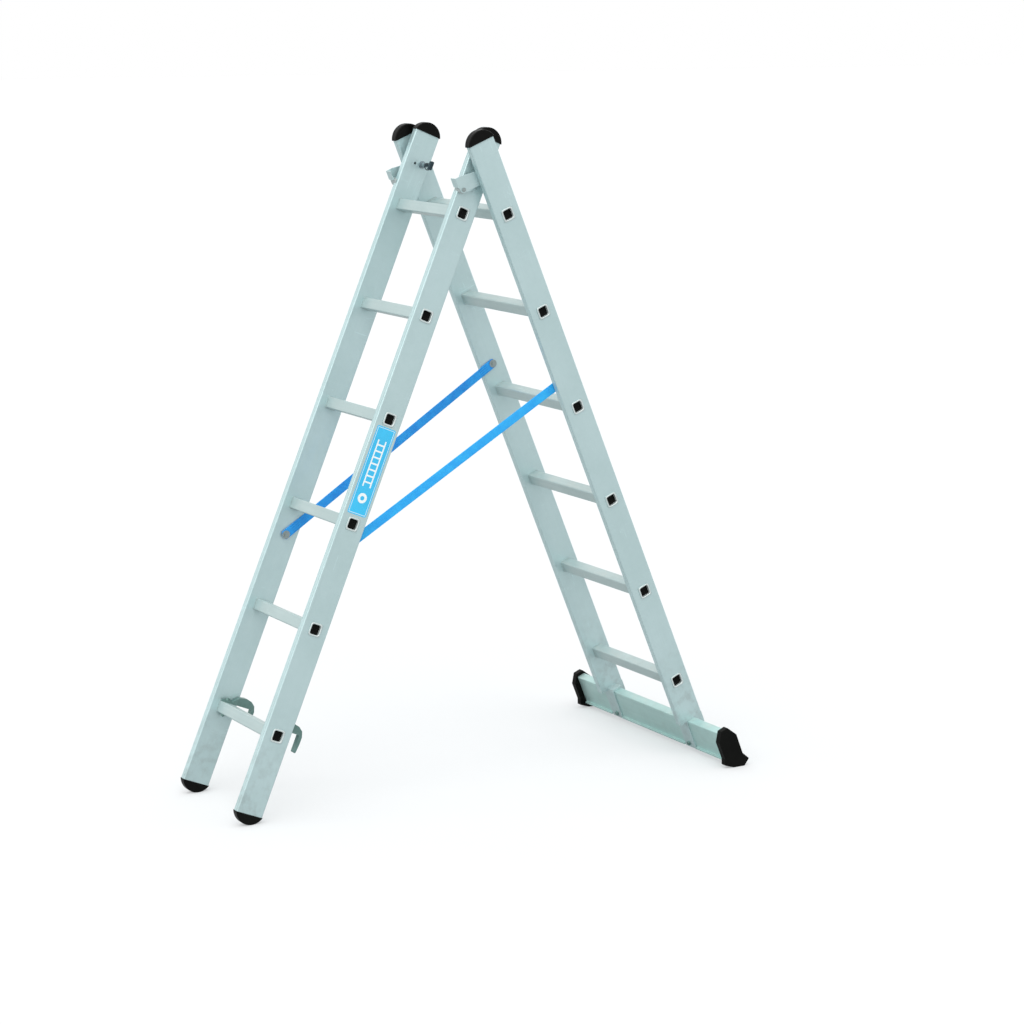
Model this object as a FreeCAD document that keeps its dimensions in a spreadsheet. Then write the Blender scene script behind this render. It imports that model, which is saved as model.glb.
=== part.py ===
import FreeCAD, Part
import math
import os
import Sketcher

# A two-part combination ladder, 2 x 6 rungs, standing open.
# Two sections lean against each other: the upper section (feet towards -X,
# narrow) and the base section (foot bar towards +X, wide).  Each section is
# modelled in its own upright frame: x across the depth of the stile, y across
# the width of the ladder, z up along the stiles, with the axis of the top rung
# at x = z = 0.  A placement then leans it over.  Millimetres, +Z up.

DIMENSIONS = [
    ("rung_pitch", 280.0),
    ("rung_count", 6),
    ("rung_width", 30.0),
    ("rung_wall", 2.0),
    ("rung_rounding", 3.0),
    ("rim_width", 35.0),
    ("rim_thick", 1.5),
    ("rim_rounding", 5.0),
    ("collar_width", 34.0),
    ("collar_thick", 2.5),
    ("stile_depth", 75.0),
    ("stile_thick", 20.0),
    ("stile_wall", 2.0),
    ("stile_rounding", 3.0),
    ("groove_inset", 3.5),
    ("groove_wide", 1.3),
    ("groove_deep", 0.6),
    ("stile_above", 205.0),
    ("upper_below", 205.0),
    ("base_below", 118.0),
    ("upper_half", 172.0),
    ("base_half", 208.0),
    ("window_gap", 0.05),
    ("seat_gap", 0.05),
    ("plug_gap", 0.2),
    ("cap_overhang", 1.5),
    ("cap_height", 26.0),
    ("top_cap_overhang", 2.5),
    ("top_cap_height", 30.0),
    ("cap_rounding", 3.0),
    ("plug_depth", 30.0),
    ("bar_depth", 25.0),
    ("bar_height", 84.0),
    ("bar_wall", 2.0),
    ("bar_half", 364.0),
    ("bar_top", -1524.0),
    ("ledge_reach", 19.0),
    ("ledge_thick", 4.0),
    ("shoe_end", 372.0),
    ("shoe_length", 17.0),
    ("shoe_plug", 30.0),
    ("sleeve_wall", 3.4),
    ("sleeve_inner", 160.0),
    ("heel_low", -1552.0),
    ("foot_bolt_y", 181.0),
    ("foot_bolt_z", -1598.0),
    ("guide_low", 118.0),
    ("guide_high", 143.0),
    ("skirt_low", 98.5),
    ("skirt_front", -78.0),
    ("guide_thick", 3.0),
    ("guide_back", 22.0),
    ("guide_face", -98.0),
    ("guide_lip", 25.0),
    ("pivot_x", -85.55),
    ("pivot_z", 107.35),
    ("ear_radius", 9.0),
    ("pivot_radius", 3.0),
    ("running_gap", 0.06),
    ("shoe_pivot_x", -29.55),
    ("shoe_pivot_z", 55.35),
    ("shoe_radius", 10.5),
    ("shoe_gap", 0.6),
    ("pin_x", 14.0),
    ("pin_z", 121.0),
    ("pin_radius", 4.0),
    ("pin_tip", 174.0),
    ("pin_reach", 53.0),
    ("ring_radius", 9.0),
    ("ring_wire", 1.2),
    ("hook_y", 141.0),
    ("hook_wide", 16.0),
    ("hook_leg", 72.0),
    ("bolt_radius", 3.0),
    ("washer_radius", 11.0),
    ("strap_wide", 25.0),
    ("strap_thick", 1.6),
    ("strap_base_z", -483.0),
    ("strap_upper_z", -925.0),
    ("strap_base_y", 185.4),
    ("strap_upper_y", 147.4),
    ("label_low", -815.0),
    ("label_high", -582.0),
    ("label_front", -27.0),
    ("label_back", 29.0),
    ("label_thick", 0.3),
    ("lean", 22.5),
    ("upper_x", -59.94),
    ("upper_z", 1510.11),
    ("feet_apart", 114.0),
    ("base_drop", 4.0),
]


class Size:
    """A length that carries both its formula for the sheet and its value."""

    def __init__(self, text, value):
        self.text = text
        self.value = float(value)

    @staticmethod
    def of(other):
        if isinstance(other, Size):
            return other
        return Size("(%r)" % float(other), other)

    def _join(self, sign, left, right, value):
        return Size("(%s %s %s)" % (left.text, sign, right.text), value)

    def __add__(self, other):
        other = Size.of(other)
        return self._join("+", self, other, self.value + other.value)

    __radd__ = __add__

    def __sub__(self, other):
        other = Size.of(other)
        return self._join("-", self, other, self.value - other.value)

    def __rsub__(self, other):
        return Size.of(other) - self

    def __mul__(self, other):
        other = Size.of(other)
        return self._join("*", self, other, self.value * other.value)

    __rmul__ = __mul__

    def __truediv__(self, other):
        other = Size.of(other)
        return self._join("/", self, other, self.value / other.value)

    def __neg__(self):
        return Size.of(-1.0) * self


doc = FreeCAD.newDocument("ladder")
sheet = doc.addObject("Spreadsheet::Sheet", "Dims")
for row, (alias, number) in enumerate(DIMENSIONS, start=1):
    sheet.set("A%d" % row, alias)
    sheet.set("B%d" % row, str(number))
    sheet.setAlias("B%d" % row, alias)
doc.recompute()
d = {alias: Size("Dims." + alias, number) for alias, number in DIMENSIONS}

PLANES = {"XY": "XY_Plane", "XZ": "XZ_Plane", "YZ": "YZ_Plane"}
# The normal of the XZ plane points along -Y, the other two along +Z and +X.
NORMAL = {"XY": 1.0, "XZ": -1.0, "YZ": 1.0}
nodes = []


def bind(thing, name, size):
    """Tie a property of an object to a formula of the sheet."""
    thing.setExpression(name, Size.of(size).text)


def place(thing, section):
    """Lean a finished piece over with its section."""
    sign = 1.0 if section == "upper" else -1.0
    east = d["upper_x"] if section == "upper" else d["upper_x"] + d["feet_apart"]
    height = d["upper_z"] if section == "upper" else d["upper_z"] - d["base_drop"]
    spot = FreeCAD.Vector(east.value, 0, height.value)
    turn = FreeCAD.Rotation(FreeCAD.Vector(0, sign, 0), d["lean"].value)
    thing.Placement = FreeCAD.Placement(spot, turn)
    bind(thing, "Placement.Base.x", east)
    bind(thing, "Placement.Base.z", height)
    bind(thing, "Placement.Rotation.Angle", d["lean"])
    nodes.append(thing)


def new_body(label):
    body = doc.addObject("PartDesign::Body", label)
    body.Label = label
    return body


def plane_of(body, plane):
    for feature in body.Origin.OriginFeatures:
        if feature.Role == PLANES[plane]:
            return feature
    raise RuntimeError("no plane " + plane)


def new_sketch(body, plane, level):
    """Open a sketch parallel to an origin plane, at a level along its axis."""
    sketch = body.newObject("Sketcher::SketchObject", body.Name + "_sketch")
    sketch.AttachmentSupport = [(plane_of(body, plane), "")]
    sketch.MapMode = "FlatFace"
    height = Size.of(level) * NORMAL[plane]
    sketch.AttachmentOffset = FreeCAD.Placement(
        FreeCAD.Vector(0, 0, height.value), FreeCAD.Rotation())
    bind(sketch, "AttachmentOffset.Base.z", height)
    return sketch


def pin_point(sketch, curve, end, point):
    """Hold one end of a curve at a point given from the sheet."""
    for kind, size in (("DistanceX", point[0]), ("DistanceY", point[1])):
        size = Size.of(size)
        index = sketch.addConstraint(
            Sketcher.Constraint(kind, -1, 1, curve, end, size.value))
        bind(sketch, "Constraints[%d]" % index, size)


def vector(point):
    return FreeCAD.Vector(Size.of(point[0]).value, Size.of(point[1]).value, 0)


def draw_polygon(sketch, points):
    count = len(points)
    first = sketch.GeometryCount
    for index in range(count):
        start = vector(points[index])
        finish = vector(points[(index + 1) % count])
        sketch.addGeometry(Part.LineSegment(start, finish), False)
    for index in range(count):
        follower = first + (index + 1) % count
        sketch.addConstraint(
            Sketcher.Constraint("Coincident", first + index, 2, follower, 1))
        pin_point(sketch, first + index, 1, points[index])


def draw_circle(sketch, centre, radius):
    radius = Size.of(radius)
    curve = sketch.addGeometry(
        Part.Circle(vector(centre), FreeCAD.Vector(0, 0, 1), radius.value), False)
    pin_point(sketch, curve, 3, centre)
    index = sketch.addConstraint(
        Sketcher.Constraint("Radius", curve, radius.value))
    bind(sketch, "Constraints[%d]" % index, radius)


def draw_dome(sketch, half, height, level, sign):
    """Draw a low arch on a chord of 2 x half at the level, bulging by sign."""
    rise = height.value
    radius = (half * half + height * height) / (height * 2.0)
    centre = level.value - sign * (radius.value - rise)
    spread = math.asin(half.value / radius.value)
    middle = math.pi / 2 if sign > 0 else 3 * math.pi / 2
    circle = Part.Circle(
        FreeCAD.Vector(0, centre, 0), FreeCAD.Vector(0, 0, 1), radius.value)
    arch = sketch.addGeometry(
        Part.ArcOfCircle(circle, middle - spread, middle + spread), False)
    right, left = (1, 2) if sign > 0 else (2, 1)
    start = FreeCAD.Vector(half.value, level.value, 0)
    finish = FreeCAD.Vector(-half.value, level.value, 0)
    chord = sketch.addGeometry(Part.LineSegment(start, finish), False)
    sketch.addConstraint(Sketcher.Constraint("Coincident", arch, right, chord, 1))
    sketch.addConstraint(Sketcher.Constraint("Coincident", arch, left, chord, 2))
    pin_point(sketch, chord, 1, (half, level))
    pin_point(sketch, chord, 2, (-half, level))
    index = sketch.addConstraint(
        Sketcher.Constraint("Radius", arch, radius.value))
    bind(sketch, "Constraints[%d]" % index, radius)


def rectangle(low, high):
    return [(low[0], low[1]), (high[0], low[1]),
            (high[0], high[1]), (low[0], high[1])]


def pad(body, plane, low, high, draw):
    """Add material between two levels along the axis of the plane."""
    low, high = Size.of(low), Size.of(high)
    sketch = new_sketch(body, plane, low if NORMAL[plane] > 0 else high)
    draw(sketch)
    feature = body.newObject("PartDesign::Pad", body.Name + "_pad")
    feature.Profile = sketch
    feature.Length = high.value - low.value
    bind(feature, "Length", high - low)
    doc.recompute()
    return feature


def pocket(body, plane, low, high, draw):
    """Take material away between two levels along the axis of the plane."""
    before = body.Shape.Volume
    low, high = Size.of(low), Size.of(high)
    sketch = new_sketch(body, plane, high if NORMAL[plane] > 0 else low)
    draw(sketch)
    feature = body.newObject("PartDesign::Pocket", body.Name + "_pocket")
    feature.Profile = sketch
    feature.Length = high.value - low.value
    bind(feature, "Length", high - low)
    doc.recompute()
    if body.Shape.Volume > before - 1e-3:
        raise RuntimeError("pocket cut nothing in " + body.Label)
    return feature


def fillet(body, feature, wanted, radius):
    """Round those edges of the last feature that the test picks."""
    names = []
    for index, edge in enumerate(feature.Shape.Edges, start=1):
        if wanted(edge):
            names.append("Edge%d" % index)
    rounding = body.newObject("PartDesign::Fillet", body.Name + "_fillet")
    rounding.Base = (feature, names)
    radius = Size.of(radius)
    rounding.Radius = radius.value
    bind(rounding, "Radius", radius)
    doc.recompute()
    return rounding


def runs_along(axis, shortest=1.0):
    """Make a test for straight edges along one axis."""
    def test(edge):
        if edge.Length < shortest or not isinstance(edge.Curve, Part.Line):
            return False
        return abs(getattr(edge.Curve.Direction, axis)) > 0.999
    return test


def side_span(side, outer, inner):
    """Order two distances from the middle plane for the near or far side."""
    if side < 0:
        return -outer, -inner
    return Size.of(inner), Size.of(outer)


SIDES = (("near", -1), ("far", 1))
HALF_RUNG = d["rung_width"] / 2.0
HALF_DEPTH = d["stile_depth"] / 2.0


def make_stile(section, name, side, half, below, holes):
    """A box tube with a window for each rung; holes are in its inner wall."""
    body = new_body("%s_stile_%s" % (section, name))
    top = d["stile_above"]
    bottom = -(d["rung_pitch"] * (d["rung_count"] - 1.0)) - below
    low, high = side_span(side, half, half - d["stile_thick"])
    wall = d["stile_wall"]
    tube = pad(body, "XY", bottom, top, lambda sketch: draw_polygon(
        sketch, rectangle((-HALF_DEPTH, low), (HALF_DEPTH, high))))
    fillet(body, tube, runs_along("z"), d["stile_rounding"])
    inside = rectangle((wall - HALF_DEPTH, low + wall), (HALF_DEPTH - wall, high - wall))
    pocket(body, "XY", bottom - 1.0, top + 1.0,
           lambda sketch: draw_polygon(sketch, inside))
    reach = HALF_RUNG + d["window_gap"]
    window = pocket(body, "XZ", low - 1.0, high + 1.0, lambda sketch: draw_polygon(
        sketch, rectangle((-reach, -reach), (reach, reach))))
    before = body.Shape.Volume
    row = body.newObject("PartDesign::LinearPattern", body.Name + "_windows")
    row.Originals = [window]
    axis = [f for f in body.Origin.OriginFeatures if f.Role == "Z_Axis"][0]
    row.Direction = (axis, [""])
    row.Reversed = True
    row.Occurrences = int(d["rung_count"].value)
    row.Length = (d["rung_pitch"] * 5.0).value
    bind(row, "Occurrences", d["rung_count"])
    bind(row, "Length", d["rung_pitch"] * (d["rung_count"] - 1.0))
    body.Tip = row
    doc.recompute()
    if body.Shape.Volume > before - 1.0:
        raise RuntimeError("the row of windows cut nothing")
    near_edge, wide = d["groove_inset"], d["groove_wide"]
    for start in (near_edge, d["stile_thick"] - near_edge - wide):
        left, right = side_span(side, half - start, half - start - wide)
        for front, back in ((-HALF_DEPTH - 1.0, d["groove_deep"] - HALF_DEPTH),
                            (HALF_DEPTH - d["groove_deep"], HALF_DEPTH + 1.0)):
            pocket(body, "XY", bottom - 1.0, top + 1.0, lambda sketch: draw_polygon(
                sketch, rectangle((front, left), (back, right))))
    inner_low, inner_high = side_span(side, half - d["stile_thick"] + wall, half - d["stile_thick"])
    for through, spot, radius in holes:
        start, finish = (low, high) if through else (inner_low, inner_high)
        pocket(body, "XZ", start - 0.5, finish + 0.5,
               lambda sketch: draw_circle(sketch, spot, radius))
    place(body, section)


def make_rung(section, number, half, hooked):
    """A square tube through both stiles, crimped on both sides of each wall."""
    body = new_body("%s_rung_%d" % (section, number))
    middle = -(d["rung_pitch"] * (number - 1.0))
    reach = half + d["rim_thick"]

    def square(width):
        edge = width / 2.0
        return rectangle((-edge, middle - edge), (edge, middle + edge))

    tube = pad(body, "XZ", -reach, reach,
               lambda sketch: draw_polygon(sketch, square(d["rung_width"])))
    fillet(body, tube, runs_along("y"), d["rung_rounding"])
    face = half - d["stile_thick"]
    for _, side in SIDES:
        low, high = side_span(side, reach, half + d["seat_gap"])
        rim = pad(body, "XZ", low, high,
                  lambda sketch: draw_polygon(sketch, square(d["rim_width"])))
        low, high = side_span(side, face - d["seat_gap"], face - d["collar_thick"])
        collar = pad(body, "XZ", low, high,
                     lambda sketch: draw_polygon(sketch, square(d["collar_width"])))
    outside = HALF_RUNG.value + 1.0

    def corner(edge):
        spot = edge.CenterOfMass
        away = abs(spot.z - middle.value)
        return runs_along("y")(edge) and abs(spot.x) > outside and away > outside

    fillet(body, collar, corner, d["rim_rounding"])
    last = pocket(body, "XZ", -reach - 1.0, reach + 1.0, lambda sketch: draw_polygon(
        sketch, square(d["rung_width"] - d["rung_wall"] * 2.0)))
    fillet(body, last, runs_along("y", 300.0), d["rung_rounding"] / 2.0)
    if hooked:
        for _, side in SIDES:
            pocket(body, "XY", middle - 20.0, middle + 20.0, lambda sketch: draw_circle(
                sketch, (0.0, d["hook_y"] * side), d["bolt_radius"] + 0.2))
    place(body, section)


def make_cap(section, kind, name, side, half, below):
    """A domed plastic cap with a plug that fits inside the stile."""
    body = new_body("%s_%s_cap_%s" % (section, kind, name))
    sign = 1.0 if kind == "top" else -1.0
    if kind == "top":
        level = d["stile_above"] + d["seat_gap"]
    else:
        level = -(d["rung_pitch"] * (d["rung_count"] - 1.0)) - below - d["seat_gap"]
    over = d["top_cap_overhang" if kind == "top" else "cap_overhang"]
    tall = d["top_cap_height" if kind == "top" else "cap_height"]
    low, high = side_span(side, half + over, half - d["stile_thick"] - over)
    dome = pad(body, "XZ", low, high, lambda sketch: draw_dome(
        sketch, HALF_DEPTH + over, tall, level, sign))
    fillet(body, dome, lambda edge: isinstance(edge.Curve, Part.Circle), d["cap_rounding"])
    inset = d["stile_wall"] + d["plug_gap"]
    low, high = side_span(side, half - inset, half - d["stile_thick"] + inset)
    foot, head = level - d["plug_depth"] * sign, level + 1.0 * sign
    if sign < 0:
        foot, head = head, foot
    pad(body, "XY", foot, head, lambda sketch: draw_polygon(
        sketch, rectangle((inset - HALF_DEPTH, low), (HALF_DEPTH - inset, high))))
    place(body, section)


def make_crossbar():
    """The flat foot bar that widens the stance of the base section."""
    body = new_body("crossbar")
    half = d["bar_depth"] / 2.0
    top = d["bar_top"]
    bottom = top - d["bar_height"]
    wall = d["bar_wall"]
    tube = pad(body, "XZ", -d["bar_half"], d["bar_half"], lambda sketch: draw_polygon(
        sketch, rectangle((-half, bottom), (half, top))))
    fillet(body, tube, runs_along("y"), d["stile_rounding"])
    clear = d["sleeve_inner"] - 3.0
    beyond = d["base_half"] + 3.0
    end = d["shoe_end"] - d["shoe_length"] - 2.0
    for start, finish in ((-clear, clear), (beyond, end), (-end, -beyond)):
        pad(body, "XZ", start, finish, lambda sketch: draw_polygon(sketch, rectangle(
            (-d["ledge_reach"], bottom), (4.0 - half, bottom + d["ledge_thick"]))))
    pocket(body, "XZ", -d["bar_half"] - 1.0, d["bar_half"] + 1.0,
           lambda sketch: draw_polygon(
               sketch, rectangle((wall - half, bottom + wall), (half - wall, top - wall))))
    for _, side in SIDES:
        pocket(body, "YZ", -half - 1.0, half + 1.0, lambda sketch: draw_circle(
            sketch, (d["foot_bolt_y"] * side, d["foot_bolt_z"]), d["bolt_radius"] + 1.2))
    place(body, "base")


def make_shoe(name, side):
    """A rubber boot on the end of the foot bar, its sole level with the floor."""
    body = new_body("crossbar_shoe_%s" % name)
    floor = -(d["upper_z"] - d["base_drop"]) / math.cos(math.radians(d["lean"].value))
    slope = math.tan(math.radians(d["lean"].value))
    top = d["bar_top"] + 10.0
    outline = [(-12.0, top), (-29.0, top - 26.0), (-29.0, top - 76.0),
               (-35.0, top - 92.0), (-12.0, floor + 12.0 * slope),
               (20.0, floor - 20.0 * slope), (41.0, top - 113.0),
               (28.0, top - 89.0), (29.0, top - 31.0), (10.0, top)]
    inner = d["shoe_end"] - d["shoe_length"]
    low, high = side_span(side, d["shoe_end"], inner)
    boot = pad(body, "XZ", low, high, lambda sketch: draw_polygon(sketch, outline))
    fillet(body, boot, runs_along("y"), 2.5)
    gap = d["plug_gap"]
    half = d["bar_depth"] / 2.0 + gap
    low, high = side_span(side, d["bar_half"] + gap, inner - 1.0)
    pocket(body, "XZ", low, high, lambda sketch: draw_polygon(sketch, rectangle(
        (-half, d["bar_top"] - d["bar_height"] - gap), (half, d["bar_top"] + gap))))
    inset = d["bar_wall"] + gap
    edge = d["bar_depth"] / 2.0 - inset
    low, high = side_span(side, d["bar_half"] + 1.0, d["bar_half"] - d["shoe_plug"])
    pad(body, "XZ", low, high, lambda sketch: draw_polygon(sketch, rectangle(
        (-edge, d["bar_top"] - d["bar_height"] + inset), (edge, d["bar_top"] - inset))))
    place(body, "base")


def make_foot_bracket(name, side):
    """A casting: a plug up inside the stile and a sleeve around the foot bar."""
    body = new_body("crossbar_bracket_%s" % name)
    gap, wall = d["plug_gap"], d["sleeve_wall"]
    stile_end = -(d["rung_pitch"] * (d["rung_count"] - 1.0)) - d["base_below"] - d["seat_gap"]
    half = d["bar_depth"] / 2.0 + gap
    top, bottom = d["bar_top"] + gap, d["bar_top"] - d["bar_height"] - gap
    low, high = side_span(side, d["base_half"], d["sleeve_inner"])
    pad(body, "XZ", low, high, lambda sketch: draw_polygon(sketch, rectangle(
        (-half - wall, bottom - wall), (half + wall, stile_end))))
    plate_low, plate_high = side_span(side, d["base_half"], d["base_half"] - d["stile_thick"])
    heel = [(-HALF_DEPTH, stile_end), (-HALF_DEPTH, top), (half + 1.0, top),
            (half + 1.0, d["heel_low"] + 10.0), (HALF_DEPTH, d["heel_low"]),
            (HALF_DEPTH, stile_end)]
    saddle = pad(body, "XZ", plate_low, plate_high,
                 lambda sketch: draw_polygon(sketch, heel))
    fillet(body, saddle, runs_along("y"), 1.5)
    pocket(body, "XZ", low - 1.0, high + 1.0, lambda sketch: draw_polygon(
        sketch, rectangle((-half, bottom), (half, top))))
    inset = d["stile_wall"] + gap
    low, high = side_span(side, d["base_half"] - inset, d["base_half"] - d["stile_thick"] + inset)
    pad(body, "XY", stile_end - 1.0, stile_end + 40.0, lambda sketch: draw_polygon(
        sketch, rectangle((inset - HALF_DEPTH, low), (HALF_DEPTH - inset, high))))
    pocket(body, "YZ", -half - wall - 1.0, half + wall + 1.0, lambda sketch: draw_circle(
        sketch, (d["foot_bolt_y"] * side, d["foot_bolt_z"]), d["bolt_radius"] + 1.2))
    place(body, "base")


def make_guide_bracket(name, side):
    """A bent plate on the inner face of the base stile, with a lip in front."""
    body = new_body("guide_bracket_%s" % name)
    face = d["base_half"] - d["stile_thick"]
    thick = d["guide_thick"]
    lip = face - d["guide_lip"]
    front, back = d["guide_face"], d["guide_back"]
    profile = [(front, face * side), (back, face * side), (back, (face - thick) * side),
               (front + thick, (face - thick) * side), (front + thick, lip * side),
               (front, lip * side)]
    plate = pad(body, "XY", d["guide_low"], d["guide_high"],
                lambda sketch: draw_polygon(sketch, profile))

    def bend(edge):
        return runs_along("z")(edge) and edge.CenterOfMass.x < front.value + 4.0

    fillet(body, plate, bend, 1.2)
    low, high = side_span(side, face, face - thick)
    pocket(body, "XZ", low - 1.0, high + 1.0, lambda sketch: draw_polygon(sketch, [
        (d["skirt_front"], d["guide_high"] + 1.0), (back + 1.0, d["guide_high"] + 1.0),
        (back + 1.0, d["guide_high"] - 16.0), (d["skirt_front"] + 4.0, d["guide_high"] - 1.0)]))
    skirt = [(front, d["guide_low"] + 1.0), (d["skirt_front"], d["skirt_low"]),
             (back, d["skirt_low"]), (back, d["guide_low"] + 1.0)]
    pad(body, "XZ", low, high, lambda sketch: draw_polygon(sketch, skirt))
    pivot = (d["pivot_x"], d["pivot_z"])
    pad(body, "XZ", low, high, lambda sketch: draw_circle(sketch, pivot, d["ear_radius"]))
    ear = d["ear_radius"]
    pad(body, "XZ", low, high, lambda sketch: draw_polygon(sketch, rectangle(
        (pivot[0] - ear, pivot[1]), (pivot[0] + ear, d["guide_low"] + 1.0))))
    pocket(body, "XZ", low - 1.0, high + 1.0, lambda sketch: draw_circle(
        sketch, pivot, d["pivot_radius"] + d["running_gap"]))
    for spot in RIVETS:
        pocket(body, "XZ", low - 1.0, high + 1.0,
               lambda sketch: draw_circle(sketch, spot, 2.55))
    place(body, "base")


def make_hook(name, side):
    """A catch on the bottom rung that drops over a rung of the base section."""
    body = new_body("hook_%s" % name)
    middle = -(d["rung_pitch"] * (d["rung_count"] - 1.0))
    seat = middle + HALF_RUNG + d["seat_gap"]
    leg = d["hook_leg"]
    outline = [(-14.0, seat), (leg, seat), (leg, middle - 31.0), (leg + 6.0, middle - 31.0),
               (leg + 9.0, middle - 6.0), (leg + 9.0, middle + 12.0), (leg + 4.0, middle + 26.0),
               (leg - 8.0, middle + 35.0), (leg - 24.0, middle + 39.0),
               (leg - 42.0, middle + 37.0), (11.0, seat + 6.0), (-14.0, seat + 6.0)]
    outer = d["hook_y"] + d["hook_wide"] / 2.0
    low, high = side_span(side, outer, outer - d["hook_wide"])
    plate = pad(body, "XZ", low, high, lambda sketch: draw_polygon(sketch, outline))

    def bend(edge):
        return runs_along("y")(edge) and edge.CenterOfMass.x > 29.0

    fillet(body, plate, bend, 2.8)
    pocket(body, "XY", seat - 1.0, seat + 8.0, lambda sketch: draw_circle(
        sketch, (0.0, d["hook_y"] * side), d["bolt_radius"] + 0.2))
    place(body, "upper")


def make_label():
    """A plain sticker on the outer face of the near stile."""
    body = new_body("label")
    face = d["upper_half"]
    sticker = pad(body, "XZ", -face - d["label_thick"], -face, lambda sketch: draw_polygon(
        sketch, rectangle((d["label_front"], d["label_low"]), (d["label_back"], d["label_high"]))))
    fillet(body, sticker, runs_along("y", 0.1), 4.0)
    place(body, "upper")


def make_guide_shoe(name, side):
    """A round guide pad that turns on the bracket and clips round the stile."""
    body = new_body("guide_shoe_%s" % name)
    plate = d["base_half"] - d["stile_thick"] - d["guide_thick"] - 0.4
    spot = (d["shoe_pivot_x"], d["shoe_pivot_z"])
    low, high = side_span(side, plate, d["upper_half"] - 12.0)
    pad(body, "XZ", low, high, lambda sketch: draw_circle(sketch, spot, d["shoe_radius"]))
    low, high = side_span(side, d["upper_half"] + d["shoe_gap"], d["upper_half"] - 13.0)
    pocket(body, "XZ", low, high, lambda sketch: draw_polygon(sketch, rectangle(
        (-HALF_DEPTH - 0.5, spot[1] - 20.0), (HALF_DEPTH, spot[1] + 20.0))))
    low, high = side_span(side, plate + 1.0, plate - 8.0)
    pocket(body, "XZ", low, high, lambda sketch: draw_circle(sketch, spot, d["pivot_radius"]))
    place(body, "upper")


def make_pivot_pin(name, side):
    """A headed pin through the ear of the bracket into the guide shoe."""
    body = new_body("pivot_pin_%s" % name)
    face = d["base_half"] - d["stile_thick"]
    spot = (d["shoe_pivot_x"], d["shoe_pivot_z"])
    low, high = side_span(side, face + 0.3, face - 11.0)
    pad(body, "XZ", low, high, lambda sketch: draw_circle(sketch, spot, d["pivot_radius"]))
    low, high = side_span(side, face + 2.8, face + 0.3)
    pad(body, "XZ", low, high, lambda sketch: draw_circle(sketch, spot, 5.5))
    place(body, "upper")


def make_pin_parts(name, side):
    """The spring pin of one upper stile: a bush, a plunger and a pull ring."""
    spot = (d["pin_x"], d["pin_z"])
    face = d["upper_half"] - d["stile_thick"]
    bush = new_body("pin_bush_%s" % name)
    low, high = side_span(side, face - d["seat_gap"], face - 4.0)
    pad(bush, "XZ", low, high, lambda sketch: draw_circle(sketch, spot, 10.0))
    low, high = side_span(side, face - 3.0, face - 22.0)
    pad(bush, "XZ", low, high, lambda sketch: draw_circle(sketch, spot, 6.5))
    low, high = side_span(side, face + 1.0, face - 23.0)
    pocket(bush, "XZ", low, high, lambda sketch: draw_circle(
        sketch, spot, d["pin_radius"] + d["running_gap"]))
    place(bush, "upper")
    plunger = new_body("pull_pin_%s" % name)
    low, high = side_span(side, d["pin_tip"], face - d["pin_reach"])
    shank = pad(plunger, "XZ", low, high,
                lambda sketch: draw_circle(sketch, spot, d["pin_radius"]))
    tip = d["pin_tip"].value * side

    def rim(edge):
        return isinstance(edge.Curve, Part.Circle) and abs(edge.CenterOfMass.y - tip) < 0.1

    fillet(plunger, shank, rim, 1.0)
    low, high = side_span(side, face - d["pin_reach"] + 9.0, face - d["pin_reach"])
    bar = pad(plunger, "XZ", low, high, lambda sketch: draw_polygon(sketch, rectangle(
        (spot[0] - 5.0, spot[1] - 12.0), (spot[0] + 5.0, spot[1] + 12.0))))
    fillet(plunger, bar, lambda edge: runs_along("y", 8.0)(edge), 3.0)
    place(plunger, "upper")
    ring = doc.addObject("Part::Torus", "pull_ring_%s" % name)
    ring.Label = "pull_ring_%s" % name
    bind(ring, "Radius1", d["ring_radius"])
    bind(ring, "Radius2", d["ring_wire"])
    place_ring(ring, spot, side, face)


def place_ring(ring, spot, side, face):
    """Hang the ring on the plunger, just behind its cross bar."""
    turn = FreeCAD.Rotation(FreeCAD.Vector(0, 1, 0), d["lean"].value)
    lean = FreeCAD.Placement(
        FreeCAD.Vector(d["upper_x"].value, 0, d["upper_z"].value), turn)
    centre = FreeCAD.Vector(
        spot[0].value + 0.5, (face.value - 33.0) * side, spot[1].value - 3.4)
    flat = FreeCAD.Placement(centre, FreeCAD.Rotation(FreeCAD.Vector(1, 0, 0), 78.0 * side))
    ring.Placement = lean.multiply(flat)
    nodes.append(ring)


def fastener_group(label, section, pieces):
    """Fuse a set of primitives, already placed, into one node."""
    group = doc.addObject("Part::MultiFuse", label)
    group.Label = label
    group.Shapes = pieces
    place(group, section)


def rod(name, radius, low, high, spot, axis):
    """A round bar along one axis of the section, between two levels."""
    bar = doc.addObject("Part::Cylinder", name)
    low, high = Size.of(low), Size.of(high)
    bind(bar, "Radius", radius)
    bind(bar, "Height", high - low)
    turns = {"x": FreeCAD.Rotation(FreeCAD.Vector(0, 1, 0), 90),
             "y": FreeCAD.Rotation(FreeCAD.Vector(1, 0, 0), -90),
             "z": FreeCAD.Rotation()}
    a, b = Size.of(spot[0]), Size.of(spot[1])
    home = {"x": (low, a, b), "y": (a, low, b), "z": (a, b, low)}[axis]
    bar.Placement = FreeCAD.Placement(FreeCAD.Vector(*[s.value for s in home]), turns[axis])
    for letter, size in zip("xyz", home):
        bind(bar, "Placement.Base." + letter, size)
    return bar


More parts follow.
